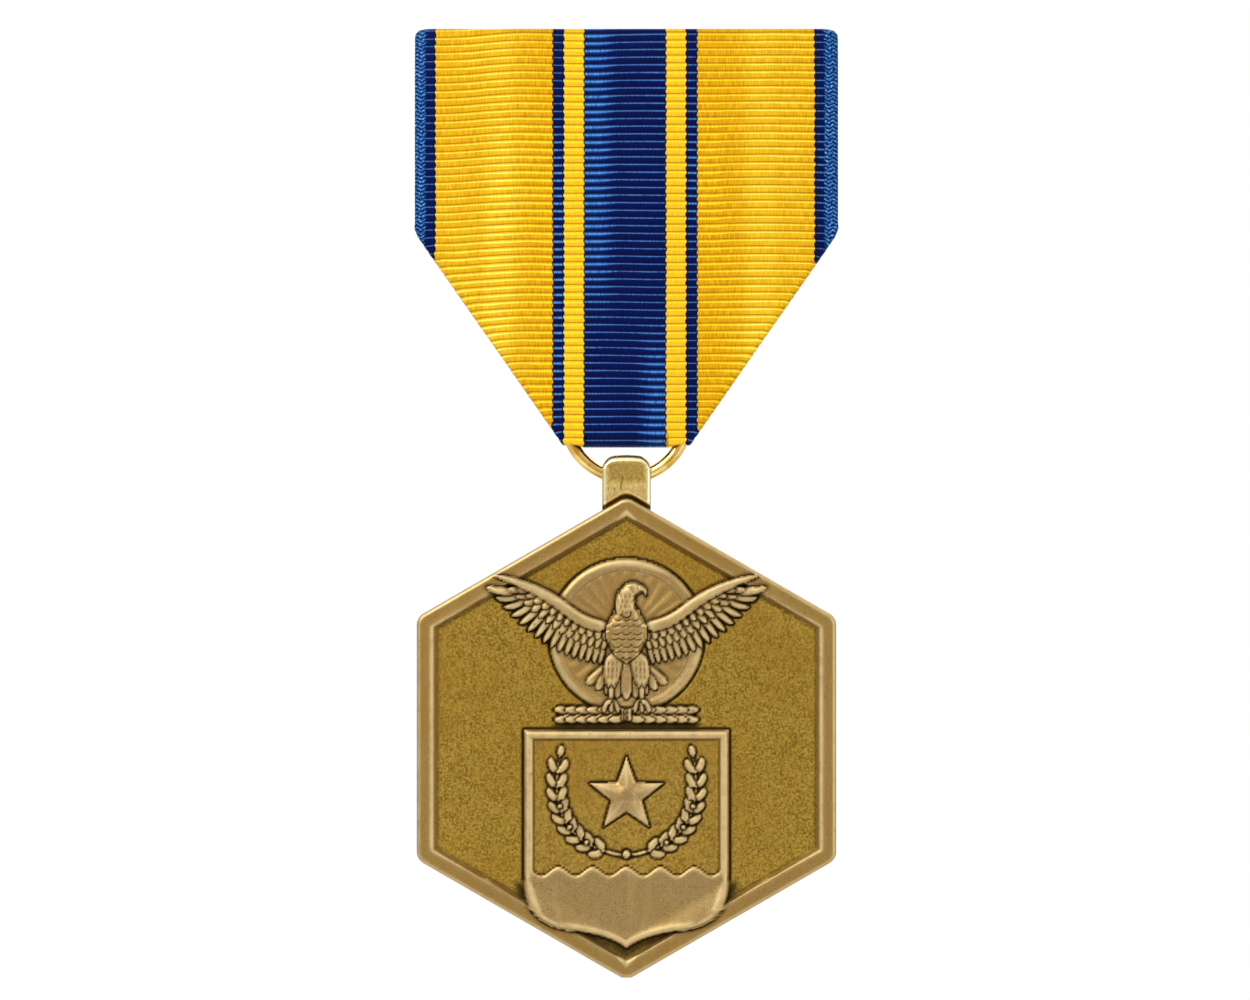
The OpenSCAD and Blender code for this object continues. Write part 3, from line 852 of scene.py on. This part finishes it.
def chest_and_head(face):
    """The scaly chest, and the neck and hooked beak turned to the right as the front is seen."""
    side = np.concatenate([
        curve((0.0, 11.2), (0.95, 11.1), (1.15, 10.2), 6),
        curve((1.15, 10.2), (2.1, 9.0), (1.4, 7.6), 8)[1:],
        curve((1.4, 7.6), (0.85, 6.6), (0.0, 6.2), 6)[1:],
    ])
    face.area(np.concatenate([side, side[-2:0:-1] * (-1, 1)]), 0.46, 0.5, 0.14)
    for row in range(7):
        width = 1.3 * math.sin(math.pi * (0.3 + 0.56 * row / 7))
        count = 3 + row % 2
        for i in range(count):
            x = (i - (count - 1) / 2) * 2 * width / count
            face.cut(arc((x, 10.05 - 0.54 * row), 0.98 * width / count, 200, 340, 8), 0.95, 0.075)
    neck = curve((0.0, 10.3), (-0.3, 11.2), (0.15, 12.1), 8)
    face.stroke(neck, 0.8, 0.5, 0.12, root=0.05, tip=0.15)
    crown = curve((-0.55, 11.9), (-0.3, 13.05), (0.75, 12.9), 7)
    beak = curve((0.95, 12.78), (1.75, 12.65), (1.62, 11.75), 6)
    jaw = curve((1.35, 12.08), (0.9, 12.0), (0.55, 11.5), 5)
    face.area(np.concatenate([crown, beak, jaw, [(0.0, 11.5)]]), 0.58, 0.28, 0.06)
    nape = curve((0.02, 10.5), (-0.26, 11.3), (0.2, 12.3), 8)
    face.stroke(nape, 0.62, 0.58, 0.1, root=0.05, tip=0.15, dark=0)
    face.cut([(0.95, 12.72), (0.88, 12.12)], 0.6)
    face.cut([(0.9, 12.2), (1.35, 12.17)], 0.7)
    face.cut(arc((0.55, 12.42), 0.12, 0, 360, 9), 0.9, 0.05)
    for row in range(4):
        for i in range(3):
            x, z = -0.45 + 0.36 * i + 0.12 * (row % 2), 11.85 - 0.42 * row
            face.cut([(x, z), (x + 0.02, z - 0.32)], 0.6)


def shield_outline():
    """A straight-topped shield with rounded lower corners and a point."""
    right = np.concatenate([
        [(0, SHIELD_TOP), (SHIELD_HALF, SHIELD_TOP)],
        curve((SHIELD_HALF, -11.8), (SHIELD_HALF, -15.3), (4.8, -15.85), 12),
        curve((4.8, -15.85), (1.4, -16.2), (0, -17.35), 8)[1:],
    ])
    return np.concatenate([right, right[-2:0:-1] * (-1, 1)])


def shield(face):
    """The shield: a rounded border, a sunk upper panel, and a smooth raised base under a wavy line."""
    outline = shield_outline()
    at, x, z = face.near(outline, 0.9)
    distance = outline_distance(x, z, outline)
    wave = z - BASE_Z - WAVE_H * np.cos(x * 2 * math.pi / WAVE_L)
    base = smooth(0.5 - wave / 0.24)
    sunk = smooth((-distance - 0.6) / 0.3) * (1 - base)
    roll = 0.045 * bell(distance + 0.4, 0.25)
    face.place(at, distance, 0.44 + roll - 0.17 * sunk, 0.34)
    face.raised[at] *= 1 - 0.9 * sunk
    line = bell(wave - 0.1, 0.09) * smooth((-distance - 0.6) / 0.3)
    face.darken(at, np.maximum(line, 0.6 * bell(distance + 0.84, 0.13) * (1 - 0.7 * base)))
    face.height[at] -= 0.05 * line
    # under the bird's perch, and in the narrow gaps between the shield and the rim
    under = smooth(1 - np.abs(z - 1.05) / 0.5) * smooth((6.8 - np.abs(x)) / 1.2)
    squeezed = smooth(1.4 - distance) * smooth((hexagon_distance(x, z, FIELD_A) + 1.9) / 0.9)
    pool = squeezed * (1 - face.rim[at]) * smooth((-8 - z) / 2)
    face.darken(at, np.maximum(0.85 * under, 0.75 * pool) * (distance > 0))


def star(face):
    """A five-pointed star with a ridge down each arm."""
    reach = STAR_R * np.where(np.arange(10) % 2, 0.42, 1.0)
    outline = arc((0, 0), 1, 90, 414, 10) * reach[:, None] + (0, STAR_Z)
    at, x, z = face.near(outline, 0.6)
    distance = outline_distance(x, z, outline)
    face.place(at, distance, 0.42 + 0.3 * np.clip(-distance, 0, 0.9), 0.08)


def spray(face, hand):
    """A curved laurel spray beside the star."""
    flip = (hand, 1)
    stem = curve((-0.5, -9.75), (6.9, -9.0), (5.5, -1.5), 45)
    face.stroke(stem * flip, 0.13, 0.44, 0.05, root=0.05)
    for i in range(8, 44, 4):
        ahead = unit(stem[i] - stem[i - 1])
        out = np.array([ahead[1], -ahead[0]])
        for side in (1, -1):
            tip = stem[i] + ahead * 1.15 + out * side * 0.62
            bend = stem[i] + ahead * 0.4 + out * side * 0.6
            face.stroke(curve(stem[i], bend, tip, 7) * flip, 0.31, 0.42, 0.1, vein=0.05)
    end_leaf = curve(stem[-1], stem[-1] + (-0.05, 0.4), stem[-1] + (-0.2, 0.9), 6)
    face.stroke(end_leaf * flip, 0.26, 0.42, vein=0.05)
    for i in (14, 22, 30):
        face.disc(stem[i] * flip, 0.19)


def front_relief(x, z):
    """Everything struck on the front."""
    face = Relief(x, z)
    sun(face)
    tail(face)
    garland(face)
    for hand in (1, -1):
        wing(face, hand)
        leg(face, hand)
    chest_and_head(face)
    shield(face)
    for hand in (1, -1):
        spray(face, hand)
    face.disc((0, -9.55), 0.34)
    star(face)
    return face


def back_relief(x, z):
    """The reverse: a rim and a blank raised tablet."""
    face = Relief(x, z)
    far = np.array([TABLET_HALF, TABLET_TALL]) - TABLET_CORNER
    corners = ((1, 1, 90), (1, -1, 0), (-1, -1, -90), (-1, 1, 180))
    outline = [arc(far * (sx, sz), TABLET_CORNER, start, start - 90, 7) for sx, sz, start in corners]
    face.area(np.concatenate(outline), 0.24, 0.4, dark=0.6)
    return face


def soften(grid, times):
    """Averages each point with its neighbours, several times over."""
    for _ in range(times):
        for axis in (0, 1):
            grid = (np.roll(grid, 1, axis) + 2 * grid + np.roll(grid, -1, axis)) / 4
    return grid


def proudness(face, front):
    """How far each point stands above (more than 0) or below what is round it. Only lips on the back."""
    proud = 0.6 * (face.height - soften(face.height, 5)) + 0.4 * (face.height - soften(face.height, 30))
    edge = hexagon_distance(face.x, face.z, FIELD_A)
    proud = np.where(proud < 0, proud * (1 - 0.8 * smooth(edge + 1.2)), proud) * front
    lip = 0.04 * bell(edge - 0.06, 0.12) + 0.05 * smooth((edge - RIM_W + EDGE_R + 0.15) / 0.3)
    return np.maximum(proud, lip * (face.ink < 0.3))


def make_medallion():
    """The whole struck medallion, as one closed skin."""
    build = Builder()
    rows = medal_rows()
    tablet_edge = np.linspace(TABLET_HALF - TABLET_CORNER, TABLET_HALF + 0.2, 9)
    back_columns = np.concatenate([[3.0, 6.0], tablet_edge, [9.9, FINE_HALF]]) / FINE_HALF
    front = front_relief(*face_grid(rows, np.linspace(0, 1, 102)[1:], 11, 8))
    back = back_relief(*face_grid(rows, back_columns, 5, 5))
    loops = []
    for face, y in ((front, medal_low[1] - front.height), (back, medal_high[1] + back.height)):
        points = np.stack([face.x, y, face.z + hex_z], -1)
        index = build.add(points, face.raised, face.ink, proudness(face, face is front))
        build.quads(index)
        loops.append(np.concatenate([index[:, -1], index[::-1, 0], index[:1, -1]]))
    half = half_width(rows, FACE_A, FACE_R)
    x, z = np.concatenate([half, -half[::-1]]), np.concatenate([rows, rows[::-1]])
    out = outward(x, z)
    turns = np.radians([30, 60, 90])
    edge = [(EDGE_R * math.sin(t), EDGE_R * (1 - math.cos(t)), 0.07 * math.sin(2 * t)) for t in turns]
    sections = [(away, medal_low[1] + depth, worn) for away, depth, worn in edge]
    sections += [(away, medal_high[1] - depth, worn) for away, depth, worn in edge[::-1]]
    previous = loops[0]
    for away, y, worn in sections:
        ring = np.stack([x + out[:, 0] * away, np.full_like(x, y), z + out[:, 1] * away + hex_z], -1)
        index = build.add(ring[:, None], 1.0, 0.0, worn)[:, 0]
        index = np.append(index, index[0])
        build.strip(previous, index)
        previous = index
    build.strip(previous, loops[1])
    return build.finish("medallion_struck", "raised", "ink", "proud")


def bronze_material():
    """Antiqued bronze: dark in the cuts, olive on the field, tan and brighter where hands have rubbed it,
    with painted shade on the slopes.
    """
    s = Shader("medal_bronze", Metallic=1.0, Specular_IOR_Level=0.5)
    place = s.position()
    raised, ink, proud = s.attribute("raised"), s.attribute("ink"), s.attribute("proud")
    broad = s.noise(place, 160.0, 2.0)
    patch = s.noise(place, 1100.0, 3.0, 0.6)
    grain = s.noise(place, 5200.0, 2.0, 0.65)
    fine = s.noise(place, 9000.0, 2.0, 0.6)
    dust = s.noise(place, 2100.0, 2.0, 0.7)
    scratch = s.noise(place, 900.0, 2.0, 0.7, (1, 1, 0.12))
    field = s.mix(s.span(grain, 0.3, 0.7), srgb(126, 95, 28), srgb(188, 155, 68))
    field = s.mix(s.span(patch, 0.4, 0.65) * 0.35, field, srgb(178, 144, 56))
    field = s.mix(s.span(broad, 0.35, 0.75) * 0.5, field, srgb(160, 116, 38))
    tan = s.mix(s.span(fine, 0.3, 0.7), srgb(150, 120, 72), srgb(178, 150, 100))
    tan = s.mix(s.span(broad, 0.4, 0.7) * 0.5, tan, srgb(164, 130, 70))
    tan = s.mix(s.span(scratch, 0.5, 0.7) * 0.2, tan, srgb(200, 174, 124))
    colour = s.mix(raised, field, tan)
    # painted shade on the slopes between the field and the raised parts; the same mask also darkens the
    # part-raised patina of the rim's middle, the disc and the sunk panel
    slope = raised * (1.0 - raised) * 4.0
    colour = s.mix(slope * 0.3, colour, srgb(106, 78, 26))
    worn = s.span(proud, 0.014, 0.085) * s.span(patch, 0.3, 0.6, 0.6, 1.0)
    colour = s.mix(worn, colour, srgb(204, 181, 130))
    hollow = s.span(proud, -0.014, -0.1)
    stain = s.higher(hollow * 0.7, ink)
    stain = s.math("ADD", stain, (patch - 0.5) * 0.3, use_clamp=True)
    colour = s.mix(s.span(stain, 0.14, 0.95), colour, srgb(46, 35, 16))
    pits = s.higher(s.span(fine, 0.33, 0.26), s.span(dust, 0.31, 0.26))
    colour = s.mix(pits * 0.5, colour, srgb(70, 52, 22))
    rough = s.span(grain, 0.2, 0.8, 0.36, 0.46) + stain * 0.25 + s.higher(slope, worn) * 0.2
    bumps = s.bump(grain, 0.3, 0.012, Normal=s.bump(patch, 0.25, 0.03))
    return s.set(Base_Color=colour, Roughness=rough, Normal=bumps)


place_piece(make_medallion(), bronze_material(), "medallion", "pendant")


# ---------------------------------------------------------------- lug and ring

LUG_SIDE_R = 0.3
LUG_TOP_R = 0.7  # rounding over the top, from front to back
LUG_CORNER_R = 1.0
LUG_DISH_H = 3.15  # from the lug's top down to the ridge under its dish
LUG_SINK = 0.12  # how far the lug reaches into the medallion's edge
BORE_R = 0.8
BORE_LIFT = 0.21
ring_wire = ring_high[1] - ring_low[1]
ring_r = (ring_high[0] - ring_low[0] - ring_wire) / 2
bore_z = ring_z - ring_r + BORE_LIFT


def lug_inset(x, z, top):
    """How far a point of the lug's face is inside its border, and how far above the ridge under its dish."""
    return np.minimum(lug_high[0] - np.abs(x), top - z - 0.15), (z - lug_high[2] + LUG_DISH_H) * 0.6


def lug_surface(x, z, top, low):
    """Half thickness of the lug at a point of its outline's inside."""
    half_t = (lug_high[1] - lug_low[1]) / 2
    side = np.clip(lug_high[0] - np.abs(x), 0, LUG_SIDE_R)
    over = np.clip(top - z, 0, LUG_TOP_R)
    t_side = half_t - LUG_SIDE_R + np.sqrt(LUG_SIDE_R**2 - (LUG_SIDE_R - side) ** 2)
    t_over = half_t - LUG_TOP_R + np.sqrt(LUG_TOP_R**2 - (LUG_TOP_R - over) ** 2)
    dish = 0.07 * smooth((np.minimum(*lug_inset(x, z, top)) - 0.2) / 0.5)
    crevice = 0.45 * smooth(1 - (z - low - LUG_SINK) / 0.6)
    return np.minimum(t_side, t_over) - dish - crevice


def lug_outline():
    """The lug's columns, from side to side, and the height of its foot and top at each."""
    half = lug_high[0]
    x = half * np.sin(np.linspace(-math.pi / 2, math.pi / 2, 61))
    past = np.maximum(np.abs(x) - half + LUG_CORNER_R, 0)
    round_off = LUG_CORNER_R - np.sqrt(np.maximum(LUG_CORNER_R**2 - past**2, 0))
    top = lug_high[2] - round_off - 0.2 * (x / half) ** 2
    apex = hex_z + 2 * (FLATS / 2 - CORNER_R) / math.sqrt(3)
    flank = CORNER_R * math.sin(math.pi / 6)
    rounded = apex + np.sqrt(np.maximum(CORNER_R**2 - x**2, 0))
    straight = hex_z + (FLATS - np.abs(x)) / math.sqrt(3)
    return x, np.where(np.abs(x) < flank, rounded, straight) - LUG_SINK, top


def drill_bore(obj):
    """Cuts the bore for the ring through the lug, from side to side."""
    bpy.ops.mesh.primitive_cylinder_add(
        vertices=64, radius=BORE_R * MM, depth=4 * lug_high[0] * MM,
        location=(0, ring_y * MM, bore_z * MM), rotation=(0, math.pi / 2, 0),
    )
    drill = bpy.context.object
    cut = obj.modifiers.new("bore", "BOOLEAN")
    cut.operation, cut.solver, cut.object = "DIFFERENCE", "EXACT", drill
    graph = bpy.context.evaluated_depsgraph_get()
    mesh = bpy.data.meshes.new_from_object(obj.evaluated_get(graph), depsgraph=graph)
    obj.modifiers.clear()
    obj.data = mesh
    bpy.data.objects.remove(drill)
    weld(obj)


def make_lug():
    """The drilled lug, brazed on the hexagon's top corner, with a dished face and rounded edges."""
    columns, low, top = lug_outline()
    z = low + (top - low) * (1 - np.cos(np.linspace(0, math.pi, 71)))[:, None] / 2
    x = np.broadcast_to(columns, z.shape)
    thick = lug_surface(x, z, top, low)
    build = Builder()
    sides = []
    for sign in (-1, 1):
        index = build.add(np.stack([x, ring_y + sign * thick, z], -1))
        build.quads(index)
        sides.append(np.concatenate([index[0], index[1:, -1], index[-1, -2::-1], index[-2::-1, 0]]))
    build.strip(*sides)
    lug = build.finish("lug_brazed")
    drill_bore(lug)
    x, _, z = np.array([point.co for point in lug.data.vertices]).T / MM
    inset, above = lug_inset(x, z, np.interp(x, columns, top))
    set_attribute(lug, "raised", smooth(1 - (np.minimum(inset, above) - 0.25) / 0.4))
    set_attribute(lug, "ink", smooth(1.1 - (z - np.interp(x, columns, low) - LUG_SINK) / 0.6))
    # painted highlight along the inner edge of the lug's border
    set_attribute(lug, "proud", 0.07 * bell(inset - 0.2, 0.17))
    return lug


def make_ring():
    """A ring of round wire. Its ends meet in a fine joint at the top, inside the ribbon's fold."""
    joint = np.radians(np.array([0, 0.25, 0.5, 0.8, 1.2, 2.0]))
    rest = np.linspace(joint[-1], 2 * math.pi - joint[-1], 180)[1:-1]
    turn = np.concatenate([joint, rest, 2 * math.pi - joint[:0:-1]])
    gap = np.minimum(turn, 2 * math.pi - turn)
    wire = ring_wire / 2 * (1 - 0.3 * bell(gap, 0.006))
    round_wire = np.linspace(0, 2 * math.pi, 29)[:-1]
    reach = ring_r + wire[:, None] * np.cos(round_wire)
    x = reach * np.sin(turn)[:, None]
    z = ring_z + reach * np.cos(turn)[:, None]
    y = ring_y + wire[:, None] * np.sin(round_wire)
    build = Builder()
    build.tube(np.stack([x, y, z], -1), closed=True)
    return build.finish("ring_wire")


def gilt_material():
    """Gilt brass with fine scratches, a little tarnish and soft mottling."""
    s = Shader("ring_gilt", Metallic=1.0)
    place = s.position()
    mottle = s.noise(place, 700.0, 3.0)
    tarnish = s.noise(place, 240.0, 3.0, 0.6)
    scratch = s.noise(place, 2200.0, 2.0, 0.7, (1, 1, 0.15))
    colour = s.mix(s.span(mottle, 0.35, 0.65), srgb(222, 172, 76), srgb(250, 216, 130))
    colour = s.mix(s.span(tarnish, 0.52, 0.75) * 0.45, colour, srgb(132, 92, 36))
    rough = s.span(scratch, 0.3, 0.7, 0.15, 0.3)
    return s.set(Base_Color=colour, Roughness=rough, Normal=s.bump(scratch, 0.2, 0.01))


def lug_material():
    """The lug's brass: bright on its border, with a painted highlight along the border's inner edge, olive in
    its dish, dark where it meets the medallion.
    """
    s = Shader("lug_brass", Metallic=1.0)
    place = s.position()
    raised, ink, proud = s.attribute("raised"), s.attribute("ink"), s.attribute("proud")
    grain = s.noise(place, 4200.0, 2.0, 0.6)
    scratch = s.noise(place, 1500.0, 2.0, 0.7, (1, 1, 0.25))
    dish = s.mix(s.span(grain, 0.3, 0.7), srgb(178, 144, 68), srgb(200, 168, 92))
    border = s.mix(s.span(grain, 0.3, 0.7), srgb(210, 178, 104), srgb(230, 202, 132))
    colour = s.mix(raised, dish, border)
    # painted highlight along the inner edge of the border
    colour = s.mix(s.span(proud, 0.02, 0.07), colour, srgb(248, 232, 180))
    colour = s.mix(s.span(scratch, 0.62, 0.7) * 0.7, colour, srgb(96, 74, 30))
    # darker where the lug meets the medallion, broken up by the grain
    foot_darkening = ink + (grain - 0.5) * 0.6
    colour = s.mix(s.span(foot_darkening, 0.25, 0.85) * 0.9, colour, srgb(46, 38, 18))
    rough = s.span(grain, 0.2, 0.8, 0.3, 0.42)
    return s.set(Base_Color=colour, Roughness=rough, Normal=s.bump(grain, 0.3, 0.02))


place_piece(make_lug(), lug_material(), "suspension_lug", "pendant")
place_piece(make_ring(), gilt_material(), "suspension_ring", "ring")


# ---------------------------------------------------------------- thread

THREAD_WELD = 0.0002  # as WELD, for the finer thread
PLY_R = 0.075  # radius of each of the thread's two plies
PLY_OUT = 0.75 * PLY_R  # how far each stands off the thread's middle
STITCH_L = 1.5
STITCH_PITCH = 2.2
STITCH_TURNS = 3.2  # how often the plies twist in one stitch
SEAM_STITCHES = 15
TACKS = 3
TACK_INSET = 1.3
TACK_START = 1.2


def add_stitch(build, start, end):
    """One stitch of two-ply thread along the back of the cloth, whose ends dive into it."""
    way = np.subtract(end, start)
    plane = np.stack([np.cross(unit(way), (0, 1, 0)), (0, 1, 0)])
    along = np.linspace(0, 1, 33)
    centre = start + way * along[:, None]
    dive = 1 - np.sqrt(1 - np.abs(2 * along - 1) ** 3.5)
    centre[:, 1] += 0.07 - 0.35 * dive
    circle = arc((0, 0), 1, 0, 360, 9)[:-1] @ plane
    size = PLY_R * np.sqrt(1 - np.abs(2 * along - 1) ** 12)
    for ply in (0, 180):
        offset = arc((0, 0), PLY_OUT, ply, ply + 360 * STITCH_TURNS, 33) @ plane
        build.tube((centre + offset)[:, None] + size[:, None, None] * circle)


def make_seam():
    """The row of stitches that closes the ribbon's loop, under the back plate."""
    low, high = box_mm("seam_thread")
    y, z = (low[1] + high[1]) / 2, (low[2] + high[2]) / 2
    build = Builder()
    for i in range(SEAM_STITCHES):
        x = (i - (SEAM_STITCHES - 1) / 2) * STITCH_PITCH
        add_stitch(build, (x - STITCH_L / 2, y, z), (x + STITCH_L / 2, y, z))
    return build.finish("seam_stitches", distance_mm=THREAD_WELD)


def make_tacks():
    """Short rows of stitches that hold the rear layer's turned-in corners."""
    low, high = box_mm("mitre_tacks")
    y = (low[1] + high[1]) / 2
    along = np.array([SLANT_COS, SLANT_SIN])
    first = np.array([FOOT_HALF, fold_z + FOOT_LIFT]) + TACK_INSET * np.array([-SLANT_SIN, SLANT_COS])
    build = Builder()
    for hand in (1, -1):
        for i in range(TACKS):
            ends = (first + along * (TACK_START + i * STITCH_PITCH + reach) for reach in (0, STITCH_L))
            add_stitch(build, *((hand * x, y, z) for x, z in ends))
    return build.finish("mitre_stitches", distance_mm=THREAD_WELD)


def thread_material():
    """Twisted gold-coloured cotton."""
    s = Shader("gold_thread", Roughness=0.6, Sheen_Weight=0.3, Specular_IOR_Level=0.3)
    fibre = s.noise(s.position(), 9000.0, 2.0, 0.6)
    colour = s.mix(s.span(fibre, 0.3, 0.7), srgb(214, 160, 40), srgb(250, 208, 96))
    return s.set(Base_Color=colour, Normal=s.bump(fibre, 0.4, 0.02))


cotton = thread_material()
place_piece(make_seam(), cotton, "seam_thread", "drape")
place_piece(make_tacks(), cotton, "mitre_tacks", "drape")


# ---------------------------------------------------------------- brooch


def break_edges(node, width_mm):
    """Rounds a CAD piece's sharp edges a little, with modifiers only."""
    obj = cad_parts[node]
    obj.modifiers.new("join", "WELD").merge_threshold = WELD * MM
    flat = obj.modifiers.new("flat", "DECIMATE")
    flat.decimate_type, flat.angle_limit = "DISSOLVE", math.radians(1)
    soft = obj.modifiers.new("soft", "BEVEL")
    soft.width, soft.segments, soft.harden_normals = width_mm * MM, 3, True
    soft.limit_method, soft.angle_limit = "ANGLE", math.radians(35)


def brass_material():
    """Lacquered brass sheet: rolled grain, faint scratches and brown tarnish spots."""
    s = Shader("brooch_brass", Metallic=1.0)
    place = s.position()
    rolled = s.noise(place, 2600.0, 2.0, 0.6, (0.06, 1, 1))
    spots = s.noise(place, 420.0, 4.0, 0.65)
    cloud = s.noise(place, 90.0, 2.0)
    colour = s.mix(s.span(cloud, 0.35, 0.65), srgb(202, 162, 84), srgb(222, 186, 112))
    colour = s.mix(s.span(spots, 0.6, 0.72) * 0.6, colour, srgb(122, 84, 36))
    colour = s.mix(s.span(rolled, 0.3, 0.7) * 0.25, colour, srgb(160, 120, 54))
    rough = s.span(rolled, 0.3, 0.7, 0.28, 0.42)
    return s.set(Base_Color=colour, Roughness=rough, Normal=s.bump(rolled, 0.25, 0.008))


def nickel_material():
    """Nickel-plated steel wire and turned parts: bright, with fine drawn lines."""
    s = Shader("pin_nickel", Metallic=1.0)
    place = s.position()
    drawn = s.noise(place, 3000.0, 2.0, 0.6, (0.05, 1, 1))
    haze = s.noise(place, 260.0, 3.0)
    colour = s.mix(s.span(drawn, 0.3, 0.7), srgb(168, 168, 172), srgb(192, 192, 196))
    colour = s.mix(s.span(haze, 0.55, 0.75) * 0.4, colour, srgb(150, 146, 138))
    rough = s.span(drawn, 0.3, 0.7, 0.22, 0.34)
    return s.set(Base_Color=colour, Roughness=rough, Normal=s.bump(drawn, 0.15, 0.005))


brass, nickel = brass_material(), nickel_material()
brooch = (
    ("brooch_bar", brass, 0.05), ("back_plate", brass, 0.08), ("plate_rivets", brass, 0.05),
    ("hinge_bracket", brass, 0.07), ("hinge_rivet", nickel, 0.05), ("catch_housing", brass, 0.06),
    ("pin_needle", nickel, 0.03), ("catch_rotor", nickel, 0.05),
)
for node, metal, rounding in brooch:
    paint(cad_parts[node], metal)
    break_edges(node, rounding)


# ---------------------------------------------------------------- camera, light and floor

VIEW_W = 103.1  # width of the view at the medal, in millimetres
VIEW_X, VIEW_DOWN = -0.12, 38.94  # the view's middle, and how far it is under the ribbon's top
LENS = 135.0
SENSOR = 36.0
AMBIENT = 0.5  # brightness of the room on matt surfaces
FLOOR_DROP = 45  # how far the floor is under the medal


def make_camera():
    """Straight at the front, with the whole medal in view."""
    data = bpy.data.cameras.new("camera")
    data.lens, data.sensor_width = LENS, SENSOR
    data.clip_start, data.clip_end = 0.01, 20
    camera = bpy.data.objects.new("camera", data)
    camera.location = Vector((VIEW_X, front_y - VIEW_W * LENS / SENSOR, top_z - VIEW_DOWN)) * MM
    camera.rotation_euler = (math.pi / 2, 0, 0)
    bpy.context.scene.collection.objects.link(camera)
    bpy.context.scene.camera = camera


def area_light(name, place_mm, size_mm, power):
    """A soft white light that shines on the medal's middle."""
    data = bpy.data.lights.new(name, "AREA")
    data.shape, data.size, data.size_y = "RECTANGLE", size_mm[0] * MM, size_mm[1] * MM
    data.energy = power
    light = bpy.data.objects.new(name, data)
    light.location = Vector(place_mm) * MM
    way = Vector((0, front_y, (top_z + medal_low[2]) / 2)) - Vector(place_mm)
    light.rotation_euler = way.to_track_quat("-Z", "Y").to_euler()
    bpy.context.scene.collection.objects.link(light)


def make_world():
    """White all round, but with a darker lower half and sides for what shines to mirror."""
    world = bpy.data.worlds.new("studio")
    bpy.context.scene.world = world
    s = Nodes(world)
    up = s.node("SeparateXYZ", [s.node("TexCoord", output="Generated")], "Z")
    mirrored = s.node("MapRange", (up, -0.75, 0.75, 0.12, 1.05))
    glossy, direct = (s.node("LightPath", output=f"Is {ray} Ray") for ray in ("Glossy", "Camera"))
    strength = s.node("Mix", {0: glossy, 2: AMBIENT, 3: mirrored})
    strength = s.node("Mix", {0: direct, 2: strength, 3: 1.0})
    s.node("OutputWorld", [s.node("Background", {"Strength": strength, "Color": (1, 1, 1)})])


def make_floor():
    """A plain pale floor a little below the medal."""
    bpy.ops.mesh.primitive_circle_add(
        vertices=96, radius=0.3, fill_type="NGON", location=(0, 0, (medal_low[2] - FLOOR_DROP) * MM)
    )
    floor = bpy.context.object
    floor.name = "floor"
    s = Shader("floor_white", Roughness=0.9)
    tone = s.noise(s.position(), 2.0)
    paint(floor, s.set(Base_Color=s.mix(tone, (0.93, 0.93, 0.93), (0.96, 0.96, 0.96))))


make_camera()
make_world()
make_floor()
area_light("key", (-150, -210, 150), (180, 140), 0.7)
area_light("fill", (330, -260, -10), (220, 260), 0.45)
area_light("rim", (60, 320, 240), (260, 200), 0.6)
bpy.context.scene.view_settings.view_transform = "Standard"
